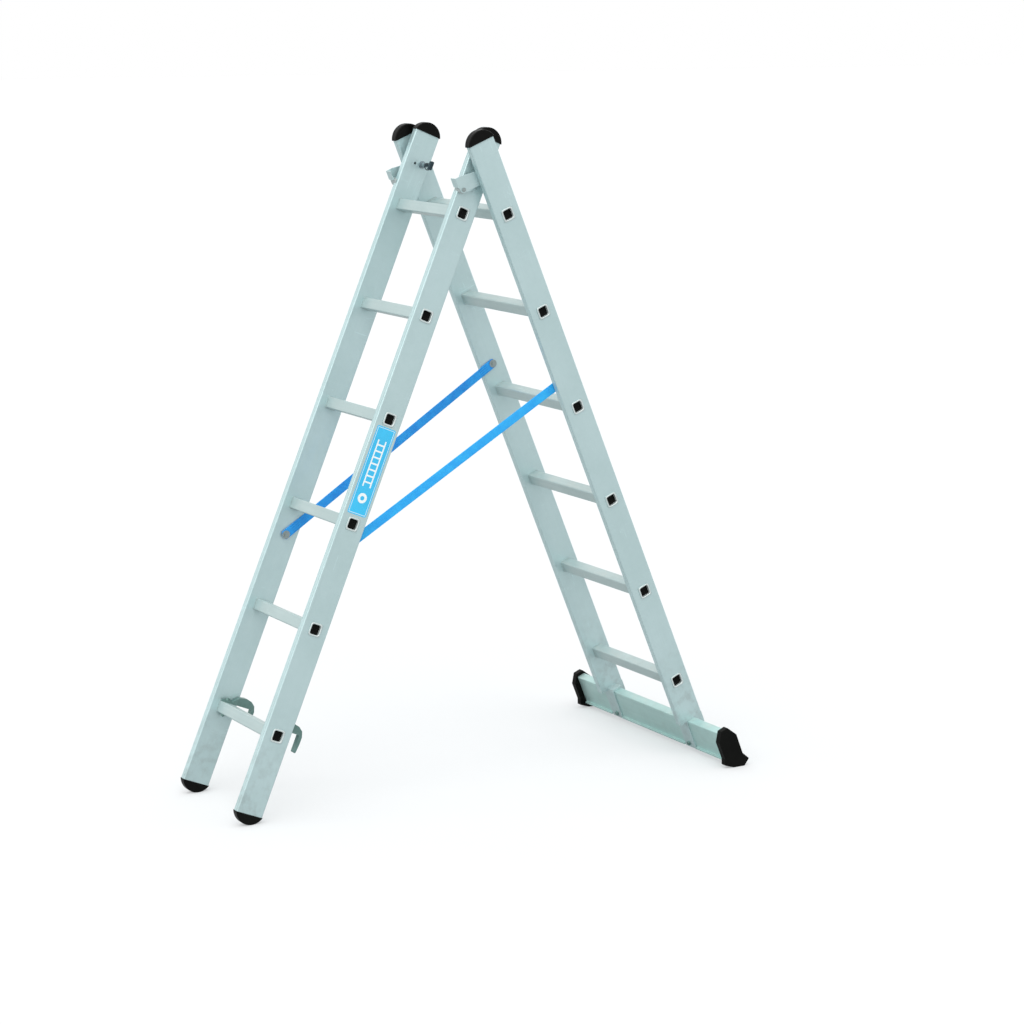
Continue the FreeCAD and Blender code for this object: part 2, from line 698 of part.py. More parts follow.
def hexagon(name, radius, low, high, spot, axis):
    """A hexagonal head or nut along one axis of the section."""
    prism = doc.addObject("Part::Prism", name)
    prism.Polygon = 6
    low, high = Size.of(low), Size.of(high)
    bind(prism, "Circumradius", radius)
    bind(prism, "Height", high - low)
    turns = {"x": FreeCAD.Rotation(FreeCAD.Vector(0, 1, 0), 90),
             "y": FreeCAD.Rotation(FreeCAD.Vector(1, 0, 0), -90),
             "z": FreeCAD.Rotation()}
    a, b = Size.of(spot[0]), Size.of(spot[1])
    home = {"x": (low, a, b), "y": (a, low, b), "z": (a, b, low)}[axis]
    prism.Placement = FreeCAD.Placement(FreeCAD.Vector(*[s.value for s in home]), turns[axis])
    for letter, size in zip("xyz", home):
        bind(prism, "Placement.Base." + letter, size)
    return prism


def make_hook_fasteners():
    middle = -(d["rung_pitch"] * (d["rung_count"] - 1.0))
    seat = middle + HALF_RUNG + d["seat_gap"] + 6.0
    under = middle - HALF_RUNG
    bolts, nuts = [], []
    for name, side in SIDES:
        spot = (0.0, d["hook_y"] * side)
        bolts.append(rod("bolt_a_" + name, d["bolt_radius"], under - 8.0, seat, spot, "z"))
        bolts.append(rod("bolt_b_" + name, 8.0, seat, seat + 1.6, spot, "z"))
        bolts.append(hexagon("bolt_c_" + name, 5.8, seat + 1.6, seat + 6.0, spot, "z"))
        ring = rod("nut_a_" + name, 7.0, under - 1.4, under, spot, "z")
        nut = hexagon("nut_b_" + name, 5.8, under - 6.4, under - 1.4, spot, "z")
        body = doc.addObject("Part::MultiFuse", "nut_body_" + name)
        body.Shapes = [ring, nut]
        hole = rod("nut_c_" + name, d["bolt_radius"] + 0.05, under - 7.0, under + 1.0, spot, "z")
        cut = doc.addObject("Part::Cut", "nut_cut_" + name)
        cut.Base = body
        cut.Tool = hole
        nuts.append(cut)
    fastener_group("hook_bolts", "upper", bolts)
    fastener_group("hook_nuts", "upper", nuts)


def make_foot_fasteners():
    half = d["bar_depth"] / 2.0 + d["plug_gap"] + d["sleeve_wall"]
    bolts = []
    for name, side in SIDES:
        spot = (d["foot_bolt_y"] * side, d["foot_bolt_z"])
        bolts.append(rod("foot_a_" + name, 4.0, -half, half + 8.0, spot, "x"))
        bolts.append(hexagon("foot_b_" + name, 7.0, -half - 4.5, -half, spot, "x"))
        bolts.append(hexagon("foot_c_" + name, 7.0, half, half + 5.5, spot, "x"))
    fastener_group("crossbar_bolts", "base", bolts)


def make_guide_rivets():
    face = d["base_half"] - d["stile_thick"]
    pieces = []
    for name, side in SIDES:
        for index, spot in enumerate(RIVETS):
            label = "%s_%d" % (name, index)
            low, high = side_span(side, face + d["stile_wall"], face - d["guide_thick"])
            pieces.append(rod("rivet_a_" + label, 2.5, low, high, spot, "y"))
            low, high = side_span(
                side, face - d["guide_thick"], face - d["guide_thick"] - 1.6)
            pieces.append(rod("rivet_b_" + label, 4.6, low, high, spot, "y"))
            low, high = side_span(
                side, face + d["stile_wall"] + 1.4, face + d["stile_wall"])
            pieces.append(rod("rivet_c_" + label, 4.0, low, high, spot, "y"))
    fastener_group("guide_rivets", "base", pieces)


def make_strap_screws(section, half, strap_y, level):
    """Washer-headed screws that hold the strap ends to the inner faces."""
    face = half - d["stile_thick"]
    pieces = []
    for name, side in SIDES:
        label = "%s_%s" % (section, name)
        outside = strap_y - d["strap_thick"] / 2.0 - 0.6
        low, high = side_span(side, face + d["stile_wall"] + 4.0, outside)
        pieces.append(rod("screw_a_" + label, d["bolt_radius"], low, high, (0.0, level), "y"))
        low, high = side_span(side, outside, outside - 1.2)
        pieces.append(rod("screw_b_" + label, d["washer_radius"], low, high, (0.0, level), "y"))
        low, high = side_span(side, outside - 1.2, outside - 4.0)
        pieces.append(rod("screw_c_" + label, 4.8, low, high, (0.0, level), "y"))
    fastener_group("strap_screws_" + section, section, pieces)


def strap_corners():
    """The two strap ends in the frame of the whole ladder, near side."""
    lean = math.radians(d["lean"].value)
    base = FreeCAD.Vector(
        (d["upper_x"] + d["feet_apart"]).value - d["strap_base_z"].value * math.sin(lean),
        d["strap_base_y"].value,
        (d["upper_z"] - d["base_drop"]).value + d["strap_base_z"].value * math.cos(lean))
    upper = FreeCAD.Vector(
        d["upper_x"].value + d["strap_upper_z"].value * math.sin(lean),
        d["strap_upper_y"].value,
        d["upper_z"].value + d["strap_upper_z"].value * math.cos(lean))
    return base, upper


def make_strap(name, side):
    """A plain flat band from one inner face to the other, with eyelet holes."""
    start, finish = strap_corners()
    start = FreeCAD.Vector(start.x, start.y * side, start.z)
    finish = FreeCAD.Vector(finish.x, finish.y * side, finish.z)
    along = finish - start
    length = along.Length
    end = 14.0
    wide, thick = d["strap_wide"].value, d["strap_thick"].value
    band = Part.makeBox(length + 2 * end, thick, wide, FreeCAD.Vector(-end, -thick / 2, -wide / 2))
    for spot in (0.0, length):
        hole = Part.makeCylinder(
            d["bolt_radius"].value + 0.3, 4, FreeCAD.Vector(spot, -2, 0), FreeCAD.Vector(0, 1, 0))
        band = band.cut(hole)
    x_axis = FreeCAD.Vector(along).normalize()
    z_axis = x_axis.cross(FreeCAD.Vector(0, 1, 0)).normalize()
    y_axis = z_axis.cross(x_axis)
    turn = FreeCAD.Rotation(x_axis, y_axis, z_axis, "XYZ")
    strap = doc.addObject("Part::Feature", "strap_%s" % name)
    strap.Label = "strap_%s" % name
    strap.Shape = band
    strap.Placement = FreeCAD.Placement(start, turn)
    nodes.append(strap)


RIVETS = [(-22.0, (d["skirt_low"] + d["guide_high"]) / 2.0 - 4.0),
          (8.0, (d["skirt_low"] + d["guide_high"]) / 2.0 - 6.0)]
PIN_HOLE = (True, (d["pin_x"], d["pin_z"]), d["pin_radius"] + d["running_gap"])
SPARE_HOLE = (False, (-7.0, 118.0), 3.5)
SCREW_RADIUS = d["bolt_radius"] + 0.05

for where, hand in SIDES:
    make_stile("upper", where, hand, d["upper_half"], d["upper_below"],
               [PIN_HOLE, SPARE_HOLE, (False, (0.0, d["strap_upper_z"]), SCREW_RADIUS)])
    make_stile("base", where, hand, d["base_half"], d["base_below"],
               [(False, (0.0, d["strap_base_z"]), SCREW_RADIUS)]
               + [(False, spot, 2.55) for spot in RIVETS])
for step in range(1, 7):
    make_rung("upper", step, d["upper_half"], step == 6)
    make_rung("base", step, d["base_half"], False)
for where, hand in SIDES:
    make_cap("upper", "top", where, hand, d["upper_half"], d["upper_below"])
    make_cap("upper", "foot", where, hand, d["upper_half"], d["upper_below"])
    make_cap("base", "top", where, hand, d["base_half"], d["base_below"])
    make_shoe(where, hand)
    make_foot_bracket(where, hand)
    make_guide_bracket(where, hand)
    make_guide_shoe(where, hand)
    make_pivot_pin(where, hand)
    make_hook(where, hand)
    make_pin_parts(where, hand)
    make_strap(where, hand)
make_crossbar()
make_label()
make_hook_fasteners()
make_foot_fasteners()
make_guide_rivets()
make_strap_screws("base", d["base_half"], d["strap_base_y"], d["strap_base_z"])
make_strap_screws("upper", d["upper_half"], d["strap_upper_y"], d["strap_upper_z"])
doc.recompute()

for item in doc.Objects:
    if "Invalid" in item.State or "Error" in item.State:
        raise RuntimeError("%s failed: %s" % (item.Label, item.State))
os.makedirs("parts", exist_ok=True)
for node in nodes:
    if node.Shape.isNull() or not node.Shape.isValid():
        raise RuntimeError("bad shape in " + node.Label)
    node.Shape.exportStep("parts/%s.step" % node.Label)
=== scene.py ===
"""Looks of a two-part combination ladder that stands open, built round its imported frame.

The upper section leans from the left feet up to the right, the base section
from its foot bar up to the left.  Both are described in an upright frame of
their own: x across the depth of a stile, y across the ladder and z up along
the stiles, with the axis of the top rung at x = z = 0.  Metres throughout.
"""

from __future__ import annotations

import logging
import math
from dataclasses import dataclass, field
from enum import Enum
from typing import Callable

import bmesh
import bpy
import numpy as np
from mathutils import Matrix, Vector


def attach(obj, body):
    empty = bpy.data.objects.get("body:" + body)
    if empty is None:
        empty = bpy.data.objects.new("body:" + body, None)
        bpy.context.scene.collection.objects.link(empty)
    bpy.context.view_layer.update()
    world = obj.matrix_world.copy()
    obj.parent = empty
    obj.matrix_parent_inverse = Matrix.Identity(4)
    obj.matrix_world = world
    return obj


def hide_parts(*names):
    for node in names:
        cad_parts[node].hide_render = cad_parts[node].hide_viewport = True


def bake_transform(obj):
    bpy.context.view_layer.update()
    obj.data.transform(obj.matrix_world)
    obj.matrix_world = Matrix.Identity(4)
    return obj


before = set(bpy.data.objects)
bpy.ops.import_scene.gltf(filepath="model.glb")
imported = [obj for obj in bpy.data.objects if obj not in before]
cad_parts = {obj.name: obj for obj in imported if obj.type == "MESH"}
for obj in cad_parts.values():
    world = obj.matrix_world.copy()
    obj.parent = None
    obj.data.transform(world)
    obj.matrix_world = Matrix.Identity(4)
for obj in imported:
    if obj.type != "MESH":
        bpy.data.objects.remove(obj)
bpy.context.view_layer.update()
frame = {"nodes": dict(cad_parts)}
log = logging.getLogger("ladder")

Colour = tuple[float, float, float, float]
Socket = bpy.types.NodeSocket


# --------------------------------------------------------------------------
# Places on the ladder
# --------------------------------------------------------------------------


class Side(Enum):
    """The two sides of the ladder, by the sign of their y."""

    NEAR = -1.0
    FAR = 1.0

    @property
    def word(self) -> str:
        """Name of the side as the nodes spell it."""
        return self.name.lower()


class Run(Enum):
    """The way a profile was drawn or rolled, as turns that bring it to z."""

    UPRIGHT = (0.0, 0.0, 0.0)
    CROSSWAYS = (math.pi / 2, 0.0, 0.0)


@dataclass(frozen=True)
class Lean:
    """Where one section stands and how far it leans over.

    Attributes:
        name: Word that starts the names of the section's nodes.
        body: Body of the frame that the section belongs to.
        east: World x of the axis of the top rung.
        height: World z of the axis of the top rung.
        turn: Angle about +Y by which the upright section is leaned.
        half: Distance from the middle plane to the outer face of a stile.
        foot: Local z of the lower end of the stiles.
    """

    name: str
    body: str
    east: float
    height: float
    turn: float
    half: float
    foot: float

    def world(self, local: np.ndarray) -> np.ndarray:
        """Lean points over.

        The turn is x' = x cos + z sin and z' = z cos - x sin, and the axis of
        the top rung is then added.

        Args:
            local: Points in the upright frame, last axis x, y, z.

        Returns:
            The same points in the frame of the whole ladder.
        """
        cos, sin = math.cos(self.turn), math.sin(self.turn)
        x = local[..., 0] * cos + local[..., 2] * sin + self.east
        z = local[..., 2] * cos - local[..., 0] * sin + self.height
        return np.stack([x, local[..., 1], z], axis=-1)


UPPER = Lean("upper", "upper_section", -0.05994, 1.51011, math.radians(22.5), 0.172, -1.605)
BASE = Lean("base", "base_section", 0.05406, 1.50611, math.radians(-22.5), 0.208, -1.518)
RUNG_PITCH = 0.28
RUNG_COUNT = 6


# --------------------------------------------------------------------------
# Surfaces
# --------------------------------------------------------------------------


@dataclass
class Skin:
    """A surface held as arrays, ready to be written to a mesh.

    Attributes:
        points: Vertices, one row each.
        faces: Quads as rows of four vertex numbers.
        caps: Closing faces with many corners.
        uv: Place of each vertex on the pattern, in metres.
    """

    points: np.ndarray
    faces: np.ndarray
    caps: list[list[int]] = field(default_factory=list)
    uv: np.ndarray | None = None

    @staticmethod
    def tube(grid: np.ndarray, uv: np.ndarray | None = None) -> "Skin":
        """Wrap a grid of rings into a closed shell.

        Vertex (i, j) joins (i, j+1), (i+1, j+1) and (i+1, j), with j taken
        round the ring, and the first and last rings are closed by one face.

        Args:
            grid: Points as rings by places round the ring by x, y, z.
            uv: Pattern places in the same layout, or None.

        Returns:
            The closed shell.
        """
        rings, around = grid.shape[:2]
        i, j = np.meshgrid(np.arange(rings - 1), np.arange(around), indexing="ij")
        k = (j + 1) % around
        quads = np.stack([i * around + j, i * around + k,
                          (i + 1) * around + k, (i + 1) * around + j], axis=-1)
        first = list(range(around))[::-1]
        last = list(range((rings - 1) * around, rings * around))
        flat = None if uv is None else uv.reshape(-1, 2)
        return Skin(grid.reshape(-1, 3), quads.reshape(-1, 4), [first, last], flat)

    @staticmethod
    def hoop(grid: np.ndarray) -> "Skin":
        """Wrap a grid both ways into a closed ring, like a bead or a washer.

        Args:
            grid: Points as places round the bead's section by places round
                the ring by x, y, z.

        Returns:
            The closed ring.
        """
        rings, around = grid.shape[:2]
        i, j = np.meshgrid(np.arange(rings), np.arange(around), indexing="ij")
        h, k = (i + 1) % rings, (j + 1) % around
        quads = np.stack([i * around + j, i * around + k,
                          h * around + k, h * around + j], axis=-1)
        return Skin(grid.reshape(-1, 3), quads.reshape(-1, 4))

    @staticmethod
    def joined(skins: list["Skin"]) -> "Skin":
        """Put several surfaces into one set of arrays, each kept whole.

        Args:
            skins: The surfaces.

        Returns:
            One surface, with a pattern if all of them have one.
        """
        starts = np.cumsum([0] + [len(s.points) for s in skins[:-1]])
        caps = [[c + int(n) for c in cap] for s, n in zip(skins, starts) for cap in s.caps]
        with_uv = all(s.uv is not None for s in skins)
        return Skin(
            np.concatenate([s.points for s in skins]),
            np.concatenate([s.faces + n for s, n in zip(skins, starts)]),
            caps,
            np.concatenate([s.uv for s in skins]) if with_uv else None,
        )

    def moved(self, change: Callable[[np.ndarray], np.ndarray]) -> "Skin":
        """Give the same surface with its points passed through a change."""
        return Skin(change(self.points), self.faces, self.caps, self.uv)

    def piece(self, name: str, smooth: float = 40.0) -> bpy.types.Object:
        """Write the surface to a mesh object at the origin.

        Args:
            name: Name of the object.
            smooth: Angle in degrees below which two faces shade as one.

        Returns:
            The object, linked to the scene, with its faces outwards.
        """
        mesh = bpy.data.meshes.new(name)
        mesh.from_pydata(self.points.tolist(), [], self.faces.tolist() + self.caps)
        if self.uv is not None:
            corners = np.empty(len(mesh.loops), dtype=np.int32)
            mesh.loops.foreach_get("vertex_index", corners)
            layer = mesh.uv_layers.new(name="pattern")
            layer.data.foreach_set("uv", self.uv[corners].astype(np.float32).ravel())
        shell = bmesh.new()
        shell.from_mesh(mesh)
        bmesh.ops.recalc_face_normals(shell, faces=shell.faces)
        shell.to_mesh(mesh)
        shell.free()
        mesh.shade_smooth()
        mesh.set_sharp_from_angle(angle=math.radians(smooth))
        thing = bpy.data.objects.new(name, mesh)
        bpy.context.scene.collection.objects.link(thing)
        return thing


def square_turn(profile: np.ndarray, half: float, power: float, around: int) -> np.ndarray:
    """Carry a profile round a square with soft corners.

    The square is the superellipse |x/h|^p + |z/h|^p = 1, whose reach at an
    angle t is h / (|cos t|^p + |sin t|^p)^(1/p).  A profile point (r, d)
    sits at r times that reach, at the level y = d.

    Args:
        profile: Rows of share of the reach and level.
        half: Half the width of the square.
        power: How square it is; 2 is a circle.
        around: Number of places round the square.

    Returns:
        A grid of profile points by places round by x, y, z.
    """
    angle = np.linspace(0.0, 2 * math.pi, around, endpoint=False) + math.pi / around
    cos, sin = np.cos(angle), np.sin(angle)
    reach = half / (np.abs(cos) ** power + np.abs(sin) ** power) ** (1.0 / power)
    share, level = profile[:, :1], profile[:, 1:2]
    flat = np.broadcast_to(level, (len(profile), around))
    return np.stack([share * reach * cos, flat, share * reach * sin], axis=-1)


# --------------------------------------------------------------------------
# Shader building
# --------------------------------------------------------------------------


class Board:
    """One node tree being filled: places nodes, sets their inputs, joins them."""

    def __init__(self, tree: bpy.types.NodeTree) -> None:
        """Start filling a tree.

        Args:
            tree: Node tree of a material, a world or a group.
        """
        self.tree = tree

    def feed(self, socket: Socket, value: object) -> None:
        """Join a socket into another, or set the other's own value.

        Args:
            socket: Input that takes the value.
            value: A socket to join, or a plain value.
        """
        if isinstance(value, bpy.types.NodeSocket):
            self.tree.links.new(value, socket)
        else:
            socket.default_value = value

    def add(self, kind: str, settings: dict[str, object] | None = None,
            **inputs: object) -> bpy.types.Node:
        """Place a node.

        Args:
            kind: Node type without its ShaderNode prefix.
            settings: Properties of the node itself.
            inputs: Values or sockets by input name, spaces as underscores.

        Returns:
            The node.
        """
        node = self.tree.nodes.new("ShaderNode" + kind)
        for name, value in (settings or {}).items():
            setattr(node, name, value)
        for name, value in inputs.items():
            self.feed(node.inputs[name.replace("_", " ")], value)
        return node

    def maths(self, operation: str, *values: object, clamp: bool = False) -> Socket:
        """Place a Math node on one to three values and give its result.

        Args:
            operation: What the node works out.
            values: Sockets or numbers, in order.
            clamp: Whether to hold the result between 0 and 1.

        Returns:
            The result.
        """
        node = self.add("Math", {"operation": operation, "use_clamp": clamp})
        for socket, value in zip(node.inputs, values):
            self.feed(socket, value)
        return node.outputs[0]

    def times(self, first: object, other: object, clamp: bool = False) -> Socket:
        """Multiply two values and give the result."""
        return self.maths("MULTIPLY", first, other, clamp=clamp)

    def plus(self, first: object, other: object, clamp: bool = False) -> Socket:
        """Add two values and give the result."""
        return self.maths("ADD", first, other, clamp=clamp)

    def minus(self, first: object, other: object, clamp: bool = False) -> Socket:
        """Take the second value from the first and give the result."""
        return self.maths("SUBTRACT", first, other, clamp=clamp)

    def largest(self, first: object, other: object) -> Socket:
        """Give the larger of two values."""
        return self.maths("MAXIMUM", first, other)

    def shared(self, first: object, other: object, share: float) -> Socket:
        """Add a share of one value to the rest of another: s a + (1 - s) b."""
        return self.plus(self.times(first, share), self.times(other, 1.0 - share))

    def mix(self, share: object, low: object, high: object) -> Socket:
        """Mix two colours by a share and give the colour.

        Args:
            share: How much of the second colour shows.
            low: First colour.
            high: Second colour.

        Returns:
            The mixed colour.
        """
        node = self.add("Mix", {"data_type": "RGBA"})
        self.feed(node.inputs[0], share)
        self.feed(node.inputs[6], low)
        self.feed(node.inputs[7], high)
        return node.outputs[2]

    def ranged(self, value: object, low: float, high: float,
               to_low: object = 0.0, to_high: object = 1.0) -> Socket:
        """Ease a value from one range to another and give the result.

        Args:
            value: The value.
            low: Value that becomes to_low.
            high: Value that becomes to_high.
            to_low: Start of the new range.
            to_high: End of the new range.

        Returns:
            The eased value.
        """
        node = self.add("MapRange", {"interpolation_type": "SMOOTHSTEP"})
        for index, given in enumerate((value, low, high, to_low, to_high)):
            self.feed(node.inputs[index], given)
        return node.outputs[0]

    def noise(self, vector: object, scale: object, detail: float = 3.0,
              rough: float = 0.55) -> Socket:
        """Place a Noise texture and give its grey value."""
        node = self.add("TexNoise", Vector=vector, Scale=scale, Detail=detail, Roughness=rough)
        return node.outputs[0]

    def stretched(self, vector: object, scale: tuple[float, float, float],
                  turn: tuple[float, float, float] = (0.0, 0.0, 0.0)) -> Socket:
        """Turn and stretch a pattern's coordinates and give them."""
        return self.add("Mapping", Vector=vector, Scale=scale, Rotation=turn).outputs[0]

    def effect(self, effect: "Effect", **inputs: object) -> bpy.types.Node:
        """Place a shared effect as a group node with its own values.

        Args:
            effect: The effect.
            inputs: Values or sockets by input name, spaces as underscores.

        Returns:
            The group node.
        """
        node = self.tree.nodes.new("ShaderNodeGroup")
        node.node_tree = effect.group()
        for name, value in inputs.items():
            self.feed(node.inputs[name.replace("_", " ")], value)
        return node

    def surface(self, shader: bpy.types.Node, colour: Socket, rough: Socket,
                height: Socket, strength: float, depth: float) -> None:
        """Give a shader its colour, its roughness and its relief.

        Args:
            shader: Principled shader of the material.
            colour: Colour that changes over the surface.
            rough: Roughness that changes over the surface.
            height: Height of the relief.
            strength: Strength of the relief.
            depth: Depth in metres that a height of one stands for.
        """
        self.feed(shader.inputs["Base Color"], colour)
        self.feed(shader.inputs["Roughness"], rough)
        bump = self.add("Bump", Strength=strength, Distance=depth, Height=height)
        self.feed(shader.inputs["Normal"], bump.outputs[0])


class Effect(Enum):
    """Effects that more than one finish uses, each built once as a group."""

    MOTTLE = "mottled colour"
    DRAWN = "drawn lines"
    WORN_EDGE = "worn edges"
    SCUFF = "scuffs"
    GRAIN = "moulded grain"
    DUST = "settled dust"
    WEAVE = "woven threads"

    def group(self) -> bpy.types.NodeTree:
        """Give the effect's node group, building it on first use.

        Returns:
            The group.
        """
        made = bpy.data.node_groups.get(self.value)
        if made is not None:
            return made
        tree = bpy.data.node_groups.new(self.value, "ShaderNodeTree")
        takes, gives, fill = _EFFECTS[self]
        for name, kind, value in takes:
            socket = tree.interface.new_socket(name, in_out="INPUT", socket_type=kind)
            if value is not None:
                socket.default_value = value
        for name, kind in gives:
            tree.interface.new_socket(name, in_out="OUTPUT", socket_type=kind)
        entry = tree.nodes.new("NodeGroupInput")
        leave = tree.nodes.new("NodeGroupOutput")
        results = fill(Board(tree), {s.name: s for s in entry.outputs if s.name})
        for name, socket in results.items():
            tree.links.new(socket, leave.inputs[name])
        return tree


FLOAT, VECTOR, COLOUR = "NodeSocketFloat", "NodeSocketVector", "NodeSocketColor"


def fill_mottle(board: Board, given: dict[str, Socket]) -> dict[str, Socket]:
    """Cloudy drift between two colours: a coarse noise and one nine times finer.

    Args:
        board: Board of the group's tree.
        given: The group's inputs by name.

    Returns:
        The colour, and the mask that mixed it.
    """
    coarse = board.noise(given["Vector"], given["Scale"], 2.0)
    fine = board.noise(given["Vector"], board.times(given["Scale"], 9.0), 4.0)
    mask = board.ranged(board.shared(coarse, fine, 0.7), 0.28, 0.72)
    return {"Colour": board.mix(mask, given["Dark"], given["Light"]), "Mask": mask}


def fill_drawn(board: Board, given: dict[str, Socket]) -> dict[str, Socket]:
    """Fine lines along z that a drawing die leaves, made of long thin noise.

    Args:
        board: Board of the group's tree.
        given: The group's inputs by name.

    Returns:
        The height of the lines, and a mask of them.
    """
    fine = board.noise(board.stretched(given["Vector"], (1.0, 1.0, 0.004)), given["Scale"], 2.0)
    broad = board.noise(board.stretched(given["Vector"], (1.0, 1.0, 0.02)),
                        board.times(given["Scale"], 0.16), 1.0)
    height = board.shared(fine, broad, 0.6)
    return {"Height": height, "Mask": board.ranged(height, 0.4, 0.6)}


def fill_worn_edge(board: Board, given: dict[str, Socket]) -> dict[str, Socket]:
    """Bright wear where a rounded normal parts from the flat one, broken up.

    Args:
        board: Board of the group's tree.
        given: The group's inputs by name.

    Returns:
        The mask of the wear.
    """
    soft = board.add("Bevel", {"samples": 4}, Radius=given["Radius"])
    true = board.add("NewGeometry").outputs["Normal"]
    dot = board.add("VectorMath", {"operation": "DOT_PRODUCT"})
    board.feed(dot.inputs[0], soft.outputs[0])
    board.feed(dot.inputs[1], true)
    edge = board.ranged(board.minus(1.0, dot.outputs["Value"]), 0.01, 0.2)
    broken = board.ranged(board.noise(given["Vector"], given["Scale"], 4.0), 0.35, 0.6, 0.25, 1.0)
    return {"Mask": board.times(board.times(edge, broken), given["Amount"], clamp=True)}


def fill_scuff(board: Board, given: dict[str, Socket]) -> dict[str, Socket]:
    """Sparse scratches in two directions: thin slices of stretched noise.

    Args:
        board: Board of the group's tree.
        given: The group's inputs by name.

    Returns:
        The mask of the scratches.
    """
    first = board.stretched(given["Vector"], (1.0, 1.0, 0.06), (0.0, 0.5, 0.0))
    other = board.stretched(given["Vector"], (0.08, 0.3, 1.0), (0.2, -0.3, 0.0))
    lines = [board.maths("COMPARE", board.noise(way, given["Scale"], 1.0), 0.62, 0.006)
             for way in (first, other)]
    patch = board.ranged(board.noise(given["Vector"], 9.0, 2.0), 0.52, 0.66)
    mask = board.times(board.largest(*lines), patch)
    return {"Mask": board.times(mask, given["Amount"], clamp=True)}


def fill_grain(board: Board, given: dict[str, Socket]) -> dict[str, Socket]:
    """Pebbled skin of a moulding: cells softened by a fine noise.

    Args:
        board: Board of the group's tree.
        given: The group's inputs by name.

    Returns:
        The height of the skin.
    """
    cells = board.add("TexVoronoi", {"feature": "SMOOTH_F1"}, Vector=given["Vector"],
                      Scale=given["Scale"], Smoothness=0.6).outputs["Distance"]
    fine = board.noise(given["Vector"], board.times(given["Scale"], 2.5), 2.0)
    return {"Height": board.shared(cells, fine, 0.7)}


def fill_dust(board: Board, given: dict[str, Socket]) -> dict[str, Socket]:
    """Dust on faces that look up, in drifts: upward share times a noise.

    Args:
        board: Board of the group's tree.
        given: The group's inputs by name.

    Returns:
        The mask of the dust.
    """
    normal = board.add("NewGeometry").outputs["Normal"]
    up = board.add("SeparateXYZ", Vector=normal).outputs["Z"]
    drift = board.ranged(board.noise(given["Vector"], given["Scale"], 5.0), 0.4, 0.7)
    mask = board.times(board.ranged(up, 0.25, 0.95), drift)
    return {"Mask": board.times(mask, given["Amount"], clamp=True)}


def fill_weave(board: Board, given: dict[str, Socket]) -> dict[str, Socket]:
    """Plain weave: rows of rounded floats, every second row half a step on.

    With a = u / step and b = v / row, the height is the square root of
    |sin(pi (a + half of (floor b mod 2)))| times |sin(pi b)|.

    Args:
        board: Board of the group's tree.
        given: The group's inputs by name.

    Returns:
        The height of the threads, and a mask of their crowns.
    """
    parts = board.add("SeparateXYZ", Vector=given["Vector"])
    along = board.maths("DIVIDE", parts.outputs["X"], given["Step"])
    row = board.maths("DIVIDE", parts.outputs["Y"], given["Row"])
    shift = board.times(board.maths("MODULO", board.maths("FLOOR", row), 2.0), 0.5)
    crown, rib = (board.maths("ABSOLUTE", board.maths("SINE", board.times(count, math.pi)))
                  for count in (board.plus(along, shift), row))
    height = board.maths("SQRT", board.times(crown, rib))
    return {"Height": height, "Mask": board.ranged(height, 0.1, 0.8)}


_EFFECTS = {
    Effect.MOTTLE: ([("Vector", VECTOR, None), ("Scale", FLOAT, 12.0), ("Dark", COLOUR, None),
                     ("Light", COLOUR, None)], [("Colour", COLOUR), ("Mask", FLOAT)], fill_mottle),
    Effect.DRAWN: ([("Vector", VECTOR, None), ("Scale", FLOAT, 900.0)],
                   [("Height", FLOAT), ("Mask", FLOAT)], fill_drawn),
    Effect.WORN_EDGE: ([("Vector", VECTOR, None), ("Radius", FLOAT, 0.002), ("Scale", FLOAT, 60.0),
                        ("Amount", FLOAT, 1.0)], [("Mask", FLOAT)], fill_worn_edge),
    Effect.SCUFF: ([("Vector", VECTOR, None), ("Scale", FLOAT, 60.0), ("Amount", FLOAT, 1.0)],
                   [("Mask", FLOAT)], fill_scuff),
    Effect.GRAIN: ([("Vector", VECTOR, None), ("Scale", FLOAT, 900.0)],
                   [("Height", FLOAT)], fill_grain),
    Effect.DUST: ([("Vector", VECTOR, None), ("Scale", FLOAT, 20.0), ("Amount", FLOAT, 1.0)],
                  [("Mask", FLOAT)], fill_dust),
    Effect.WEAVE: ([("Vector", VECTOR, None), ("Step", FLOAT, 0.003), ("Row", FLOAT, 0.0015)],
                   [("Height", FLOAT), ("Mask", FLOAT)], fill_weave),
}


# --------------------------------------------------------------------------
# Finishes
# --------------------------------------------------------------------------


def section_places(board: Board, lean: Lean, run: Run = Run.UPRIGHT) -> Socket:
    """Give a section's upright coordinates, with the drawn way brought to z.

    Args:
        board: Tree that the coordinates are for.
        lean: Section that the piece belongs to.
        run: Way the profile was drawn.

    Returns:
        A vector socket.
    """
    places = board.add("TexCoord").outputs["Object"]
    upright = board.add("Mapping", {"vector_type": "TEXTURE"}, Vector=places,
                        Location=(lean.east, 0.0, lean.height),
                        Rotation=(0.0, lean.turn, 0.0)).outputs[0]
    if run is Run.UPRIGHT:
        return upright
    return board.add("Mapping", Vector=upright, Rotation=run.value).outputs[0]


def tinted(colour: Colour, gain: float, lift: float = 0.0) -> Colour:
    """Scale a colour's channels by a gain, add a lift and hold them at 1."""
    return tuple(min(1.0, channel * gain + lift) for channel in colour[:3]) + (1.0,)


